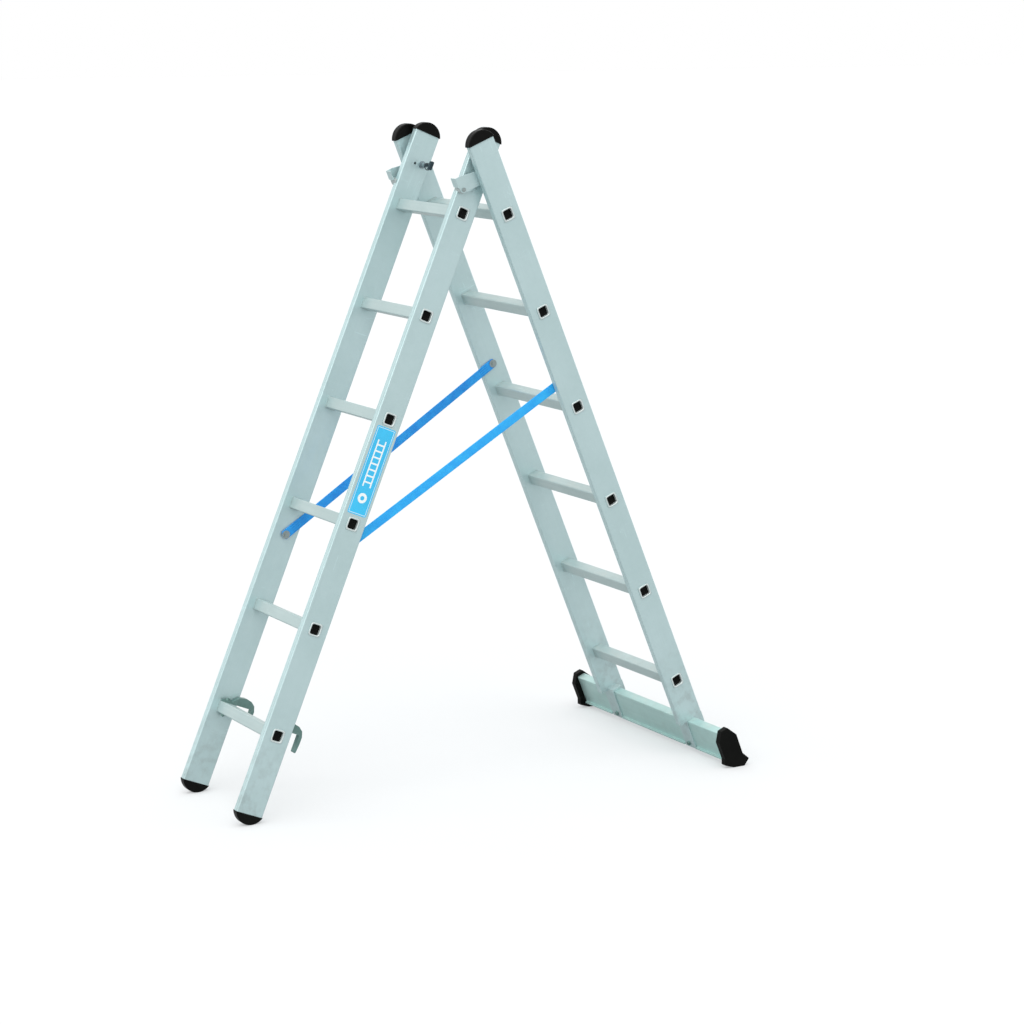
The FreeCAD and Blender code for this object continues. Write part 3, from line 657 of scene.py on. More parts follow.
@dataclass(frozen=True)
class Finish:
    """Base of every finish: a name and the way to a new material."""

    name: str

    def start(self, lean: Lean | None = None) -> tuple[bpy.types.Material, Board, bpy.types.Node]:
        """Make an empty material with a Principled shader on its output.

        Args:
            lean: Section whose name the material carries, or None.

        Returns:
            The material, its board and the shader node.
        """
        words = self.name if lean is None else f"{self.name}_{lean.name}"
        material = bpy.data.materials.new(words)
        material.use_nodes = True
        material.node_tree.nodes.clear()
        board = Board(material.node_tree)
        shader = board.add("BsdfPrincipled")
        board.add("OutputMaterial", Surface=shader.outputs[0])
        return material, board, shader


@dataclass(frozen=True)
class Metal(Finish):
    """Satin metal with drawn lines, worn edges, scuffs and a little dust.

    Attributes:
        light: Lighter of the two colours that drift over it.
        dark: Darker of the two.
        metallic: How far it mirrors like bare metal.
        rough: Roughness of the plain surface.
        run: Way the profile was drawn.
        lines: Strength of the drawn lines.
        wear: Strength of the bright edges.
        ribs: Depth of the tread ribs on a rung, or 0.
        grime: Share of dirt near the feet.
        splash: Height above a stile's lower end that the dirt reaches.
        dust: Colour of settled dust.
        soil: Colour of the dirt.
        rib_step: Distance from one tread rib to the next.
        rib_reach: Half the width of the ribbed band.
        rib_level: Height above a rung's axis where the tread face begins.
    """

    light: Colour = (0.535, 0.685, 0.70, 1.0)
    dark: Colour = (0.485, 0.635, 0.645, 1.0)
    metallic: float = 0.50
    rough: float = 0.36
    run: Run = Run.UPRIGHT
    lines: float = 0.08
    wear: float = 0.6
    ribs: float = 0.0
    grime: float = 0.35
    splash: float = 0.32
    dust: Colour = (0.62, 0.62, 0.58, 1.0)
    soil: Colour = (0.22, 0.25, 0.24, 1.0)
    rib_step: float = 0.0036
    rib_reach: float = 0.0115
    rib_level: float = 0.0135

    def material(self, lean: Lean) -> bpy.types.Material:
        """Build the finish for one section.

        Args:
            lean: Section that the pieces belong to.

        Returns:
            The material.
        """
        material, board, shader = self.start(lean)
        places = section_places(board, lean, self.run)
        upright = section_places(board, lean)
        tone = board.effect(Effect.MOTTLE, Vector=places, Scale=7.0,
                            Dark=self.dark, Light=self.light).outputs["Colour"]
        drawn = board.effect(Effect.DRAWN, Vector=places, Scale=700.0)
        worn = board.effect(Effect.WORN_EDGE, Vector=places, Radius=0.0016, Scale=70.0,
                            Amount=self.wear).outputs["Mask"]
        scuff = board.effect(Effect.SCUFF, Vector=places, Scale=70.0, Amount=0.55).outputs["Mask"]
        dust = board.effect(Effect.DUST, Vector=places, Scale=26.0, Amount=0.25).outputs["Mask"]
        pale = tinted(self.light, 1.35)
        colour = board.mix(board.times(drawn.outputs["Mask"], 0.18), tone, self.dark)
        colour = board.mix(worn, colour, pale)
        colour = board.mix(board.times(scuff, 0.6), colour, pale)
        colour = board.mix(dust, colour, self.dust)
        colour = board.mix(self.dirt(board, places, upright, lean), colour, self.soil)
        rough = board.ranged(drawn.outputs["Mask"], 0.0, 1.0, self.rough - 0.05, self.rough + 0.08)
        rough = board.plus(rough, board.times(dust, 0.3))
        rough = board.minus(rough, board.times(worn, 0.1), clamp=True)
        shader.inputs["Metallic"].default_value = self.metallic
        height = board.times(drawn.outputs["Height"], self.lines)
        height = board.minus(height, board.times(scuff, 0.1))
        if self.ribs > 0.0:
            height = board.plus(height, self.tread(board, upright))
        board.surface(shader, colour, rough, height, 0.6, 0.001)
        return material

    def dirt(self, board: Board, places: Socket, upright: Socket, lean: Lean) -> Socket:
        """Give the share of dirt, which fades with height above the feet.

        Args:
            board: Tree of the material.
            places: Coordinates of the smears.
            upright: The section's upright coordinates.
            lean: The section.

        Returns:
            The mask of the dirt.
        """
        low = board.add("SeparateXYZ", Vector=upright).outputs["Z"]
        soil = board.ranged(low, lean.foot - 0.05, lean.foot + self.splash, self.grime, 0.0)
        smear = board.ranged(board.noise(places, 38.0, 5.0), 0.42, 0.72)
        return board.times(soil, smear)

    def tread(self, board: Board, upright: Socket) -> Socket:
        """Give the height of anti-slip ribs on the top face of a rung.

        The ribs are a cosine of x on the faces that lie at the upper side of
        the rung, found from z taken modulo the rung pitch.

        Args:
            board: Tree of the material.
            upright: The section's upright coordinates.

        Returns:
            The height of the ribs.
        """
        parts = board.add("SeparateXYZ", Vector=upright)
        x, z = parts.outputs["X"], parts.outputs["Z"]
        wave = board.maths("COSINE", board.times(x, 2 * math.pi / self.rib_step))
        level = board.maths("MODULO", board.plus(z, RUNG_PITCH * 40.5), RUNG_PITCH)
        edge = board.maths("ABSOLUTE", board.minus(level, RUNG_PITCH / 2))
        on_face = board.maths("GREATER_THAN", edge, self.rib_level)
        inside = board.maths("LESS_THAN", board.maths("ABSOLUTE", x), self.rib_reach)
        return board.times(board.times(wave, self.ribs), board.times(on_face, inside))


@dataclass(frozen=True)
class Moulding(Finish):
    """Moulded plastic or rubber with a pebbled skin and greyed edges.

    Attributes:
        light: Lighter colour of the drift.
        dark: Darker colour of the drift.
        rough: Roughness of the skin.
        grain: Cells of the pebbled skin in a metre.
        relief: Strength of the skin.
        shine: Specular level.
        dusty: Share of dust on faces that look up.
        dust: Colour of the dust.
    """

    light: Colour = (0.0040, 0.0044, 0.0038, 1.0)
    dark: Colour = (0.0018, 0.0020, 0.0017, 1.0)
    rough: float = 0.38
    grain: float = 950.0
    relief: float = 0.12
    shine: float = 0.10
    dusty: float = 0.006
    dust: Colour = (0.45, 0.45, 0.42, 1.0)

    def material(self, lean: Lean) -> bpy.types.Material:
        """Build the finish for one section and give the material.

        Args:
            lean: Section that the pieces belong to.

        Returns:
            The material.
        """
        material, board, shader = self.start(lean)
        places = section_places(board, lean)
        tone = board.effect(Effect.MOTTLE, Vector=places, Scale=22.0,
                            Dark=self.dark, Light=self.light)
        worn = board.effect(Effect.WORN_EDGE, Vector=places, Radius=0.0012, Scale=110.0,
                            Amount=0.5).outputs["Mask"]
        dust = board.effect(Effect.DUST, Vector=places, Scale=45.0,
                            Amount=self.dusty).outputs["Mask"]
        grain = board.effect(Effect.GRAIN, Vector=places, Scale=self.grain).outputs["Height"]
        scuff = board.effect(Effect.SCUFF, Vector=places, Scale=90.0, Amount=0.4).outputs["Mask"]
        grey = tinted(self.light, 2.2, 0.006)
        colour = board.mix(board.times(worn, 0.5), tone.outputs["Colour"], grey)
        colour = board.mix(board.times(scuff, 0.4), colour, grey)
        colour = board.mix(dust, colour, self.dust)
        rough = board.ranged(tone.outputs["Mask"], 0.0, 1.0, self.rough - 0.06, self.rough + 0.06)
        rough = board.plus(rough, board.times(dust, 0.3), clamp=True)
        shader.inputs["Specular IOR Level"].default_value = self.shine
        board.surface(shader, colour, rough, grain, self.relief, 0.0006)
        return material


@dataclass(frozen=True)
class Webbing(Finish):
    """Woven strap: ribs of thread with painted shade between them, a sheen, and a faded, slightly
    fuzzy skin.

    Attributes:
        light: Lighter colour of the drift on the crowns of the threads.
        dark: Darker colour of the drift, and painted shade between the threads.
        step: Length of one float of thread.
        row: Width of one rib.
        relief: Depth of the weave in the bump.
        fluff: Colour of the loose fibres.
    """

    light: Colour
    dark: Colour
    step: float = 0.0030
    row: float = 0.0016
    relief: float = 0.5
    fluff: Colour = (0.20, 0.60, 0.98, 1.0)

    def material(self) -> bpy.types.Material:
        """Build the finish on the piece's own pattern and give the material.

        Returns:
            The material.
        """
        material, board, shader = self.start()
        pattern = board.add("UVMap", {"uv_map": "pattern"}).outputs[0]
        places = board.add("TexCoord").outputs["Object"]
        weave = board.effect(Effect.WEAVE, Vector=pattern, Step=self.step, Row=self.row)
        tone = board.effect(Effect.MOTTLE, Vector=places, Scale=30.0,
                            Dark=self.dark, Light=self.light)
        # Painted shade: the dark colour fills the hollows between the threads, and the drift shows
        # on their crowns.
        colour = board.mix(weave.outputs["Mask"], self.dark, tone.outputs["Colour"])
        fluff = board.ranged(board.noise(pattern, 700.0, 2.0), 0.5, 0.75, 0.0, 0.08)
        colour = board.mix(fluff, colour, self.fluff)
        rough = board.ranged(weave.outputs["Mask"], 0.0, 1.0, 0.85, 0.62)
        shader.inputs["Sheen Weight"].default_value = 0.06
        shader.inputs["Sheen Roughness"].default_value = 0.4
        fuzz = board.times(board.noise(pattern, 2600.0, 2.0), 0.25)
        height = board.plus(weave.outputs["Height"], fuzz)
        board.surface(shader, colour, rough, height, self.relief, 0.0005)
        return material


@dataclass(frozen=True)
class Sticker(Finish):
    """Printed film: sky blue with a thin frame and a plain ladder sign.

    Attributes:
        blue: Ground colour.
        ink: Colour of the frame and the sign.
        middle: Local x and z of the centre of the film.
        half: Half its width and half its length.
        frame: Distance from the film's edge to the outside and inside of its frame.
        sign_at: Middle of the ladder sign along the film, and half its length.
        rail: Distance of a rail from the sign's middle, and half its width.
        tread: Distance from tread to tread, and half the height of one.
        ring_at: Place of the ring along the film.
        ring: Middle radius of the ring, and half its width.
        bare: Colour of rubbed film.
    """

    blue: Colour = (0.045, 0.54, 0.90, 1.0)
    ink: Colour = (0.85, 0.92, 0.93, 1.0)
    middle: tuple[float, float] = (0.001, -0.6985)
    half: tuple[float, float] = (0.028, 0.1165)
    frame: tuple[float, float] = (0.0030, 0.0041)
    sign_at: tuple[float, float] = (0.020, 0.062)
    rail: tuple[float, float] = (0.0110, 0.0019)
    tread: tuple[float, float] = (0.0165, 0.0020)
    ring_at: float = -0.072
    ring: tuple[float, float] = (0.0095, 0.0036)
    bare: Colour = (0.6, 0.75, 0.78, 1.0)

    @staticmethod
    def within(board: Board, value: Socket, centre: float, reach: float) -> Socket:
        """Give 1 where a value is nearer to a centre than the reach."""
        return board.maths("COMPARE", value, centre, reach)

    def sign(self, board: Board, across: Socket, along: Socket) -> Socket:
        """Draw the frame, a ladder of two rails with treads, and a ring.

        Args:
            board: Tree of the material.
            across: Distance across the film from its middle.
            along: Distance along the film from its middle.

        Returns:
            The mask of the ink.
        """
        outside, inside = (
            board.times(self.within(board, across, 0.0, self.half[0] - inset),
                        self.within(board, along, 0.0, self.half[1] - inset))
            for inset in self.frame)
        border = board.minus(outside, inside, clamp=True)
        reach = self.within(board, along, *self.sign_at)
        rails = board.times(self.within(board, board.maths("ABSOLUTE", across), *self.rail), reach)
        step, thick = self.tread
        beat = board.maths("MODULO", board.plus(along, 0.5), step)
        between = board.times(self.within(board, across, 0.0, self.rail[0] - 0.0005), reach)
        treads = board.times(self.within(board, beat, 0.008, thick), between)
        squares = [board.maths("POWER", value, 2.0)
                   for value in (across, board.minus(along, self.ring_at))]
        ring = self.within(board, board.maths("POWER", board.plus(*squares), 0.5), *self.ring)
        return board.largest(board.largest(rails, treads), board.largest(border, ring))

    def material(self, lean: Lean) -> bpy.types.Material:
        """Build the print for the film on one section and give the material.

        Args:
            lean: Section that the film is on.

        Returns:
            The material.
        """
        material, board, shader = self.start(lean)
        places = section_places(board, lean)
        parts = board.add("SeparateXYZ", Vector=places)
        across = board.minus(parts.outputs["X"], self.middle[0])
        along = board.minus(parts.outputs["Z"], self.middle[1])
        tone = board.effect(Effect.MOTTLE, Vector=places, Scale=14.0,
                            Dark=tinted(self.blue, 0.86), Light=self.blue)
        rubbed = board.effect(Effect.SCUFF, Vector=places, Scale=120.0, Amount=0.35)
        worn = board.effect(Effect.WORN_EDGE, Vector=places, Radius=0.001, Scale=200.0, Amount=0.4)
        colour = board.mix(self.sign(board, across, along), tone.outputs["Colour"], self.ink)
        bare = board.largest(rubbed.outputs["Mask"], worn.outputs["Mask"])
        colour = board.mix(bare, colour, self.bare)
        rough = board.ranged(board.noise(places, 60.0, 3.0), 0.3, 0.7, 0.26, 0.4)
        board.surface(shader, colour, rough, board.noise(places, 420.0, 3.0), 0.08, 0.0004)
        return material


# --------------------------------------------------------------------------
# Sub-assemblies
# --------------------------------------------------------------------------


def dress(names: list[str], material: bpy.types.Material) -> None:
    """Give CAD nodes a material and report each.

    Args:
        names: Nodes of the frame.
        material: Finish that they all take.
    """
    for name in names:
        data = frame["nodes"][name].data
        data.materials.clear()
        data.materials.append(material)
        log.info("dressed %s in %s", name, material.name)


def settle(piece: bpy.types.Object, material: bpy.types.Material) -> None:
    """Give a new piece its material and report it.

    Args:
        piece: The new piece.
        material: Its finish.
    """
    piece.data.materials.append(material)
    log.info("built %s in %s", piece.name, material.name)


@dataclass
class RungEnds:
    """The open ends of the rungs in a stile's outer face.

    Attributes:
        lean: Section that the rungs belong to.
        bore: Half the width of the opening of a rung.
        flare: Half the width of the rolled rim.
        proud: How far the rim stands out from the stile.
        sunk: Depth of the plug behind the rim.
    """

    lean: Lean
    bore: float = 0.0129
    flare: float = 0.0172
    proud: float = 0.0024
    sunk: float = 0.0050

    def spread(self, skin: Skin, side: Side) -> Skin:
        """Copy one end, made at the middle plane facing -y, to all the rungs.

        Copy k is mirrored to its side, moved out to the face of the stile and
        down by k times the rung pitch.

        Args:
            skin: One end round the origin, outwards along -y.
            side: Side of the ladder.

        Returns:
            All six ends in the frame of the whole ladder.
        """
        ends = []
        for step in range(RUNG_COUNT):
            turn = np.array([1.0, -side.value, 1.0])
            shift = np.array([0.0, side.value * self.lean.half, -RUNG_PITCH * step])
            ends.append(skin.moved(lambda p, t=turn, s=shift: self.lean.world(p * t + s)))
        return Skin.joined(ends)

    def rim(self) -> Skin:
        """The rolled rim: a bead whose section is an arch from bore to flare.

        At angle a of the arch the share of the flare is the middle of the two
        less half their gap times cos a, and the height is proud (sin a)^0.8.
        A straight back closes it just inside the stile's face.

        Returns:
            One rim round the origin, outwards along -y.
        """
        arch = np.linspace(0.0, math.pi, 11)
        inner = self.bore / self.flare
        share = (inner + 1.0) / 2 - np.cos(arch) * (1.0 - inner) / 2
        level = -np.sin(arch) ** 0.8 * self.proud
        back = np.array([[1.0, 0.0006], [inner, 0.0045], [inner, 0.0015]])
        profile = np.concatenate([np.stack([share, level], axis=1), back])
        return Skin.hoop(square_turn(profile, self.flare, 6.0, 40))

    def plug(self) -> Skin:
        """The dished plug: flat in the middle, raised to a lip at the bore; its black is painted
        shade inside the open rung.

        Its depth below the lip, in millimetres, follows the share of the bore.

        Returns:
            One plug round the origin, outwards along -y.
        """
        share = [0.02, 0.45, 0.74, 0.84, 0.92, 0.985, 1.0, 1.0, 0.6, 0.02]
        depth = [4.0, 4.0, 3.8, 2.8, 0.5, 0.0, 0.8, 9.0, 10.0, 10.0]
        level = self.sunk + np.array(depth) / 1000.0
        return Skin.tube(square_turn(np.stack([share, level], axis=1), self.bore, 8.0, 32))

    def build(self, rim: bpy.types.Material, plug: bpy.types.Material) -> None:
        """Make rims and plugs for both sides.

        Args:
            rim: Finish of the rolled rims.
            plug: Finish of the plugs, black as painted shade in the rung bores.
        """
        for side in Side:
            ring = self.spread(self.rim(), side).piece(f"{self.lean.name}_rung_rims_{side.word}")
            settle(ring, rim)
            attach(ring, self.lean.body)
            stop = self.spread(self.plug(), side).piece(f"{self.lean.name}_rung_plugs_{side.word}")
            settle(stop, plug)
            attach(stop, self.lean.body)


@dataclass
class StileSection:
    """One section of the ladder: two stiles, six rungs and what is on them.

    Attributes:
        lean: Place of the section.
        stile: Finish of the stiles.
        rung: Finish of the rungs.
        cap: Finish of the end caps.
        caps: Nodes of the end caps.
    """

    lean: Lean
    stile: Metal
    rung: Metal
    cap: Moulding
    caps: list[str]

    def build(self) -> None:
        """Dress the CAD nodes and add the rung ends."""
        word = self.lean.name
        dress([f"{word}_stile_{side.word}" for side in Side], self.stile.material(self.lean))
        rungs = self.rung.material(self.lean)
        dress([f"{word}_rung_{step}" for step in range(1, RUNG_COUNT + 1)], rungs)
        black = self.cap.material(self.lean)
        dress(self.caps, black)
        RungEnds(self.lean).build(RIM.material(self.lean), SHADE_PLUG.material(self.lean))


@dataclass
class FootBar:
    """The foot bar of the base section with its castings, shoes and bolts."""

    lean: Lean

    def build(self) -> None:
        """Dress the bar, the castings, the shoes and the bolts."""
        dress(["crossbar"], BAR.material(self.lean))
        dress(["crossbar_bracket_near", "crossbar_bracket_far"], CASTING.material(self.lean))
        dress(["crossbar_shoe_near", "crossbar_shoe_far"], RUBBER.material(self.lean))
        dress(["crossbar_bolts"], HOOK.material(self.lean))


@dataclass
class Guides:
    """Brackets on the base section that the upper section slides through."""

    lean: Lean

    def build(self) -> None:
        """Dress the brackets, their rivets, the shoes and the pivot pins."""
        dress(["guide_bracket_near", "guide_bracket_far"], CASTING.material(self.lean))
        dress(["guide_rivets", "pivot_pin_near", "pivot_pin_far"], ZINC.material(self.lean))
        dress(["guide_shoe_near", "guide_shoe_far"], GREY_PLASTIC.material(self.lean))


@dataclass
class Catches:
    """Hooks and spring pins of the upper section."""

    lean: Lean

    def build(self) -> None:
        """Dress the hooks with their bolts, and the pull pins with bush and ring."""
        dress(["hook_near", "hook_far", "hook_bolts", "hook_nuts"], HOOK.material(self.lean))
        dark = DARK_STEEL.material(self.lean)
        for side in Side:
            dress([f"pull_pin_{side.word}", f"pull_ring_{side.word}"], dark)
        dress(["pin_bush_near", "pin_bush_far"], BUSH.material(self.lean))


@dataclass(frozen=True)
class Ply:
    """One layer of webbing along a strap.

    Attributes:
        begin: Length along the strap where the layer begins.
        end: Length where it ends.
        rows: Number of sections along it.
        cut: Whether its beginning and its end are cut round.
        thick: Its thickness.
        shift: Offset of its middle along the flat side's outward way.
    """

    begin: float
    end: float
    rows: int
    cut: tuple[bool, bool]
    thick: float
    shift: float = 0.0


@dataclass
class Strap:
    """A spreader strap of flat webbing from the base stile to the upper stile.

    Attributes:
        side: Side of the ladder.
        base_end: World x, distance from the middle and z of the base fixing.
        upper_end: The same for the fixing on the upper stile.
        width: Width of the webbing.
        thick: Its thickness.
        corner: Length over which a cut end is rounded.
        past: How far the webbing runs past a fixing.
        fold: Distance from a fixing to the end of the webbing folded back there.
        lanes: Places of the lanes of stitches across the strap.
        bead: Half the length, width and height of a stitch.
        sewn: Distance from a fixing to the first row of stitches.
        row: Distance between rows of stitches.
        rows: Number of rows at one end.
        seam: Distance from the upper fixing to where the two lengths meet.
        stretch: Distance from the upper fixing to where a slide would take over; not used.
        turned: Distance from the upper fixing to the end of the swing span, which is worked out
            but not used.
    """

    side: Side
    base_end: tuple[float, float, float] = (0.23890, 0.1854, 1.05988)
    upper_end: tuple[float, float, float] = (-0.41392, 0.1474, 0.65552)
    width: float = 0.025
    thick: float = 0.0016
    corner: float = 0.006
    past: float = 0.0085
    fold: float = 0.052
    lanes: tuple[float, ...] = (-0.0092, -0.0031, 0.0031, 0.0092)
    bead: tuple[float, float, float] = (0.0019, 0.00045, 0.00040)
    sewn: float = 0.024
    row: float = 0.0045
    rows: int = 6
    seam: float = 0.165
    stretch: float = 0.110
    turned: float = 0.300

    def __post_init__(self) -> None:
        """Work out the strap's ends, its length, its way and its flat side."""
        mirror = np.array([1.0, self.side.value, 1.0])
        self.start = np.array(self.base_end) * mirror
        self.finish = np.array(self.upper_end) * mirror
        run = self.finish - self.start
        self.length = float(np.linalg.norm(run))
        self.along = run / self.length
        edge = np.cross(self.along, np.array([0.0, 1.0, 0.0]))
        self.across = edge / np.linalg.norm(edge)
        flat = np.cross(self.across, self.along)
        self.out = flat * np.sign(flat[1]) * self.side.value

    def at(self, distance: float) -> np.ndarray:
        """Give the point of the middle line at a distance from the base fixing."""
        return self.start + self.along * distance

    def band(self, ply: Ply) -> Skin:
        """Carry a flat rounded section along the strap.

        A point at length s and angle t sits at the middle line plus across
        times w(s) sgn(c) |c|^0.6 and out times half the thickness times
        sgn(d) |d|^0.45, with c and d the cosine and sine of t.  Near a cut
        end, at e from it, w(s) falls off as (1 - (1 - e / corner)^2.5)^0.4.

        Args:
            ply: The layer to make.

        Returns:
            A closed shell with its pattern in metres.
        """
        spread = 0.5 - 0.5 * np.cos(np.linspace(0.0, math.pi, ply.rows))
        length = ply.begin + (ply.end - ply.begin) * spread ** 0.8
        half = np.full(ply.rows, self.width / 2)
        for is_cut, left in zip(ply.cut, (length - ply.begin, ply.end - length)):
            if is_cut:
                near = np.clip(1.0 - left / self.corner, 0.0, 0.999)
                half = half * (1.0 - near ** 2.5) ** 0.4
        angle = np.linspace(0.0, 2 * math.pi, 28, endpoint=False)
        cos, sin = np.cos(angle), np.sin(angle)
        flat = np.sign(cos) * np.abs(cos) ** 0.6
        lift = np.sign(sin) * np.abs(sin) ** 0.45
        grid = (self.start + length[:, None, None] * self.along
                + half[:, None, None] * flat[None, :, None] * self.across
                + (ply.shift + lift * ply.thick / 2)[None, :, None] * self.out)
        v = np.broadcast_to(flat, (ply.rows, len(angle))) * half[:, None] + 0.05
        uv = np.stack([np.broadcast_to(length[:, None], v.shape) + 0.1, v], axis=-1)
        return Skin.tube(grid, uv)

    def stitches(self, first: float, step: float) -> Skin:
        """Rows of thread: small lengthened beads across the folded end.

        Each bead is an ellipsoid, long along the strap, with its centre on
        the inner face of the webbing; the beads stand in rows and lanes.

        Args:
            first: Length along the strap of the first row.
            step: Distance between rows, negative to go backwards.

        Returns:
            One shell per bead, joined.
        """
        polar = np.linspace(0.12, math.pi - 0.12, 6)[:, None, None]
        around = np.linspace(0.0, 2 * math.pi, 8, endpoint=False)[None, :, None]
        long_, wide, high = self.bead
        bead = (np.cos(polar) * long_ * self.along
                + np.sin(polar) * np.cos(around) * wide * self.across
                + np.sin(polar) * np.sin(around) * high * self.out)
        pattern = np.zeros(bead.shape[:2] + (2,))
        face = -self.out * (self.thick / 2)
        spots = [self.at(first + step * row) + self.across * lane + face
                 for row in range(self.rows) for lane in self.lanes]
        return Skin.joined([Skin.tube(bead + spot, pattern) for spot in spots])

    def build(self, webbing: bpy.types.Material, thread: bpy.types.Material) -> None:
        """Make the long part, the short part at the upper stile and the threads.

        Args:
            webbing: Finish of the strap.
            thread: Finish of the stitches.
        """
        word, tip, meet = self.side.word, self.length + self.past, self.length - self.seam
        folded = {"rows": 24, "cut": (True, True), "thick": 0.0011, "shift": 0.0012}
        inset = 0.001
        swing = {"start": tuple(self.start), "end": tuple(self.at(self.length - self.turned))}

        long_part = Skin.joined([
            self.band(Ply(-self.past, meet, 200, (True, False), self.thick)),
            self.band(Ply(-self.past + inset, self.fold, **folded)),
        ]).piece(f"strap_long_{word}", 60.0)
        settle(long_part, webbing)
        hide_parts(f"strap_{word}")
        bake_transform(long_part)

        short_part = Skin.joined([
            self.band(Ply(meet, tip, 90, (False, True), self.thick)),
            self.band(Ply(self.length - self.fold, tip - inset, **folded)),
        ]).piece(f"strap_short_{word}", 60.0)
        settle(short_part, webbing)
        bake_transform(short_part)

        low = self.stitches(self.sewn, self.row).piece(f"strap_thread_base_{word}")
        settle(low, thread)
        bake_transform(low)
        high = self.stitches(self.length - self.sewn, -self.row)
        high = high.piece(f"strap_thread_upper_{word}")
        settle(high, thread)
        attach(high, "upper_section")


# --------------------------------------------------------------------------
# The room
# --------------------------------------------------------------------------


@dataclass
class Studio:
    """Pale floor, soft light and the camera.

    Attributes:
        spot: Place of the camera.
        yaw: Turn of its view from +y towards +x, in degrees.
        pitch: Tilt of its view, up positive, in degrees.
        roll: Turn about its view, in degrees.
        lens: Focal length for a 36 mm wide frame.
        shift: Sideways and upward shift of the frame.
        glow: How much the floor is lifted towards white where it is seen.
        reach: Half the width of the floor.
        floor_tones: The two greys that drift over the floor.
        sun_from: Way towards the sun.
        sun_power: Strength of the sun.
        sun_width: Angle that the sun fills, in degrees.
    """

    spot: tuple[float, float, float] = (-3.4732, -6.1485, 2.0540)
    yaw: float = 30.845
    pitch: float = -4.955
    roll: float = 0.051
    lens: float = 94.49
    shift: tuple[float, float] = (-0.00269, -0.27146)
    glow: float = 0.365
    reach: float = 60.0
    floor_tones: tuple[Colour, Colour] = ((0.435, 0.445, 0.45, 1.0), (0.45, 0.46, 0.465, 1.0))
    sun_from: tuple[float, float, float] = (-0.55, -0.35, 1.0)
    sun_power: float = 1.9
    sun_width: float = 75.0

    def camera(self) -> None:
        """Place the camera from its yaw, pitch and roll."""
        yaw, pitch, roll = (math.radians(a) for a in (self.yaw, self.pitch, self.roll))
        level = math.cos(pitch)
        ahead = Vector((math.sin(yaw) * level, math.cos(yaw) * level, math.sin(pitch)))
        right = Vector((math.cos(yaw), -math.sin(yaw), 0.0))
        above = right.cross(ahead)
        right, above = (right * math.cos(roll) + above * math.sin(roll),
                        above * math.cos(roll) - right * math.sin(roll))
        data = bpy.data.cameras.new("camera")
        data.sensor_width, data.lens = 36.0, self.lens
        data.shift_x, data.shift_y = self.shift
        data.clip_end = 500.0
        view = bpy.data.objects.new("camera", data)
        bpy.context.scene.collection.objects.link(view)
        turn = Matrix((right, above, -ahead)).transposed().to_4x4()
        view.matrix_world = Matrix.Translation(Vector(self.spot)) @ turn
        bpy.context.scene.camera = view

    def floor(self) -> None:
        """Lay a wide floor as one flat sheet at the level of the feet."""
        mesh = bpy.data.meshes.new("floor")
        corners = np.array([(-1, -1, 0), (1, -1, 0), (1, 1, 0), (-1, 1, 0)]) * self.reach
        mesh.from_pydata(corners.tolist(), [], [(0, 1, 2, 3)])
        sheet = bpy.data.objects.new("floor", mesh)
        bpy.context.scene.collection.objects.link(sheet)
        material, board, shader = Finish("studio_floor").start()
        places = board.add("TexCoord").outputs["Object"]
        board.feed(shader.inputs["Base Color"],
                   board.mix(board.noise(places, 1.5, 2.0), *self.floor_tones))
        shader.inputs["Roughness"].default_value = 0.95
        shader.inputs["Specular IOR Level"].default_value = 0.0
        seen = board.add("LightPath").outputs["Is Camera Ray"]
        board.feed(shader.inputs["Emission Strength"], board.times(seen, self.glow))
        shader.inputs["Emission Color"].default_value = (0.97, 0.985, 1.0, 1.0)
        mesh.materials.append(material)

    def light(self) -> None:
        """Light the room evenly, with one broad soft sun from high on the left."""
        world = bpy.data.worlds.new("room")
        bpy.context.scene.world = world
        world.use_nodes = True
        ground = world.node_tree.nodes["Background"]
        ground.inputs["Color"].default_value = (1.0, 1.0, 1.0, 1.0)
        ground.inputs["Strength"].default_value = 1.0
        sun = bpy.data.lights.new("sun", "SUN")
        sun.energy, sun.angle = self.sun_power, math.radians(self.sun_width)
        sun.color = (1.0, 0.995, 0.98)
        lamp = bpy.data.objects.new("sun", sun)
        lamp.rotation_euler = Vector(self.sun_from).to_track_quat("Z", "Y").to_euler()
        bpy.context.scene.collection.objects.link(lamp)

    def build(self) -> None:
        """Set the plain view, then place camera, floor and lights."""
        view = bpy.context.scene.view_settings
        view.view_transform, view.look, view.exposure, view.gamma = "Standard", "None", 0.0, 1.0
        self.camera()
        self.floor()
        self.light()
        log.info("studio ready")


# --------------------------------------------------------------------------
# The ladder's own finishes
# --------------------------------------------------------------------------

STILE = Metal("satin_aluminium")
RUNG = Metal("rung_aluminium", run=Run.CROSSWAYS, ribs=0.12, grime=0.15,
             light=(0.47, 0.58, 0.58, 1.0), dark=(0.42, 0.53, 0.53, 1.0))
BAR = Metal("bar_aluminium", run=Run.CROSSWAYS, grime=0.1,
            light=(0.48, 0.68, 0.66, 1.0), dark=(0.43, 0.63, 0.61, 1.0))
RIM = Metal("rolled_rim", light=(0.70, 0.77, 0.77, 1.0), dark=(0.60, 0.68, 0.68, 1.0),
            rough=0.28, grime=0.0)
CASTING = Metal("pressed_bracket", light=(0.52, 0.66, 0.67, 1.0), dark=(0.47, 0.61, 0.62, 1.0),
                rough=0.42, lines=0.02, grime=0.2)
ZINC = Metal("zinc_steel", light=(0.36, 0.42, 0.42, 1.0), dark=(0.27, 0.33, 0.33, 1.0),
             metallic=0.8, rough=0.34, lines=0.0, grime=0.1)
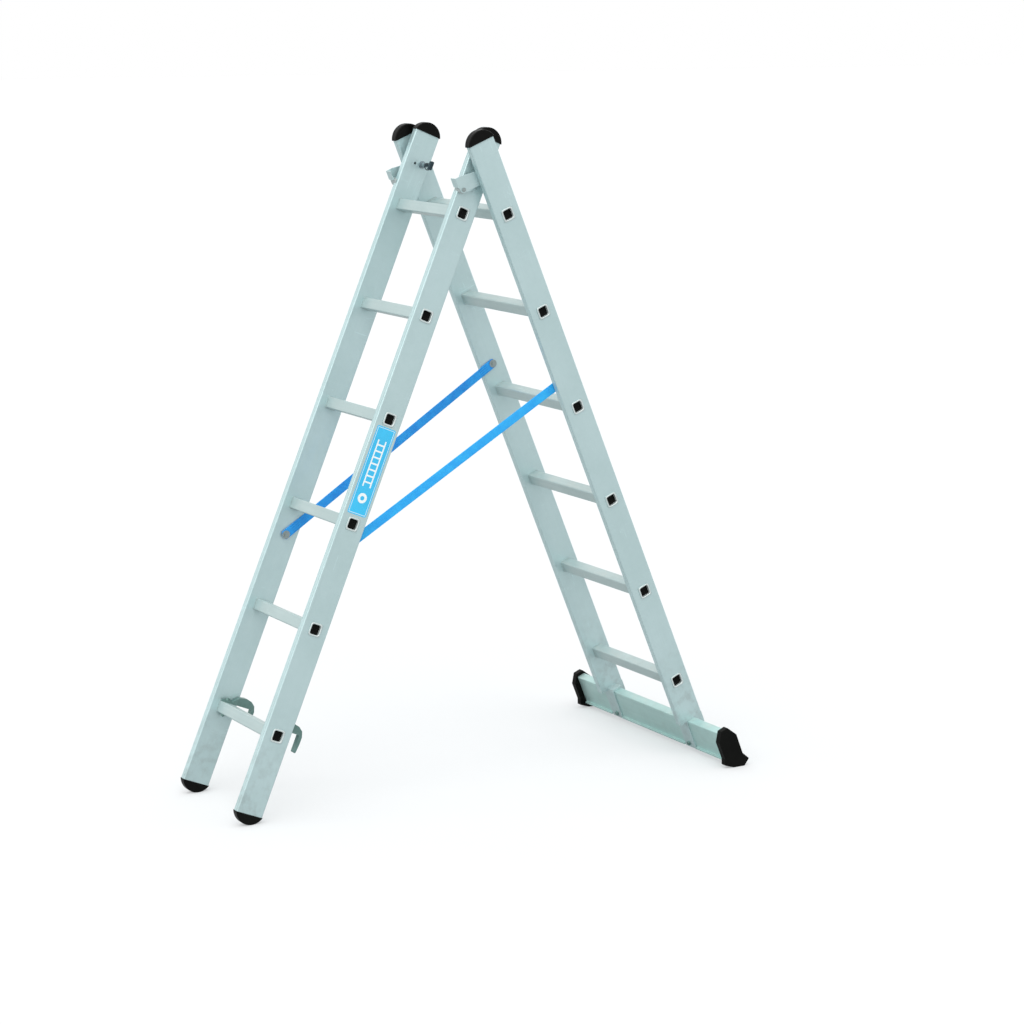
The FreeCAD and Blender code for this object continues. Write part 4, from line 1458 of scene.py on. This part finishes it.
HOOK = Metal("hook_steel", light=(0.21, 0.34, 0.32, 1.0), dark=(0.13, 0.23, 0.21, 1.0),
             metallic=0.7, rough=0.36, lines=0.03, grime=0.1)
DARK_STEEL = Metal("blackened_steel", light=(0.035, 0.06, 0.075, 1.0),
                   dark=(0.02, 0.035, 0.045, 1.0), metallic=0.6, rough=0.32,
                   lines=0.0, grime=0.0, wear=0.35)
BUSH = Metal("bush_steel", light=(0.30, 0.37, 0.40, 1.0), dark=(0.22, 0.29, 0.31, 1.0),
             metallic=0.7, rough=0.35, lines=0.0, grime=0.0)
CAP = Moulding("black_cap")
# Black plugs recessed in the rung ends paint the shade inside the open rung tubes.
SHADE_PLUG = Moulding("black_plug", rough=0.5, dusty=0.0)
RUBBER = Moulding("black_rubber", rough=0.5, relief=0.2, grain=700.0, shine=0.08)
GREY_PLASTIC = Moulding("grey_plastic", light=(0.42, 0.48, 0.48, 1.0),
                        dark=(0.34, 0.40, 0.40, 1.0))
# Lit and shaded copies of one blue webbing: the near strap's lighter colours are painted light,
# the far strap's darker colours painted shade.
FABRIC = {
    Side.NEAR: Webbing("faded_blue_webbing", light=(0.030, 0.53, 0.98, 1.0),
                       dark=(0.012, 0.36, 0.88, 1.0)),
    Side.FAR: Webbing("blue_webbing", light=(0.018, 0.42, 0.93, 1.0),
                      dark=(0.006, 0.24, 0.74, 1.0)),
}
THREAD = Webbing("blue_thread", light=(0.01, 0.16, 0.55, 1.0), dark=(0.005, 0.09, 0.36, 1.0))


def main() -> None:
    """Build the studio and the ladder in order."""
    logging.basicConfig(level=logging.INFO, format="%(message)s")
    Studio().build()
    for lean, ends in ((UPPER, ("top", "foot")), (BASE, ("top",))):
        caps = [f"{lean.name}_{end}_cap_{side.word}" for end in ends for side in Side]
        StileSection(lean, STILE, RUNG, CAP, caps).build()
    FootBar(BASE).build()
    Guides(BASE).build()
    Catches(UPPER).build()
    dress(["label"], Sticker("blue_sticker").material(UPPER))
    dress(["strap_screws_base"], ZINC.material(BASE))
    dress(["strap_screws_upper"], ZINC.material(UPPER))
    thread = THREAD.material()
    for side in Side:
        Strap(side).build(FABRIC[side].material(), thread)


if __name__ == "__main__":
    main()
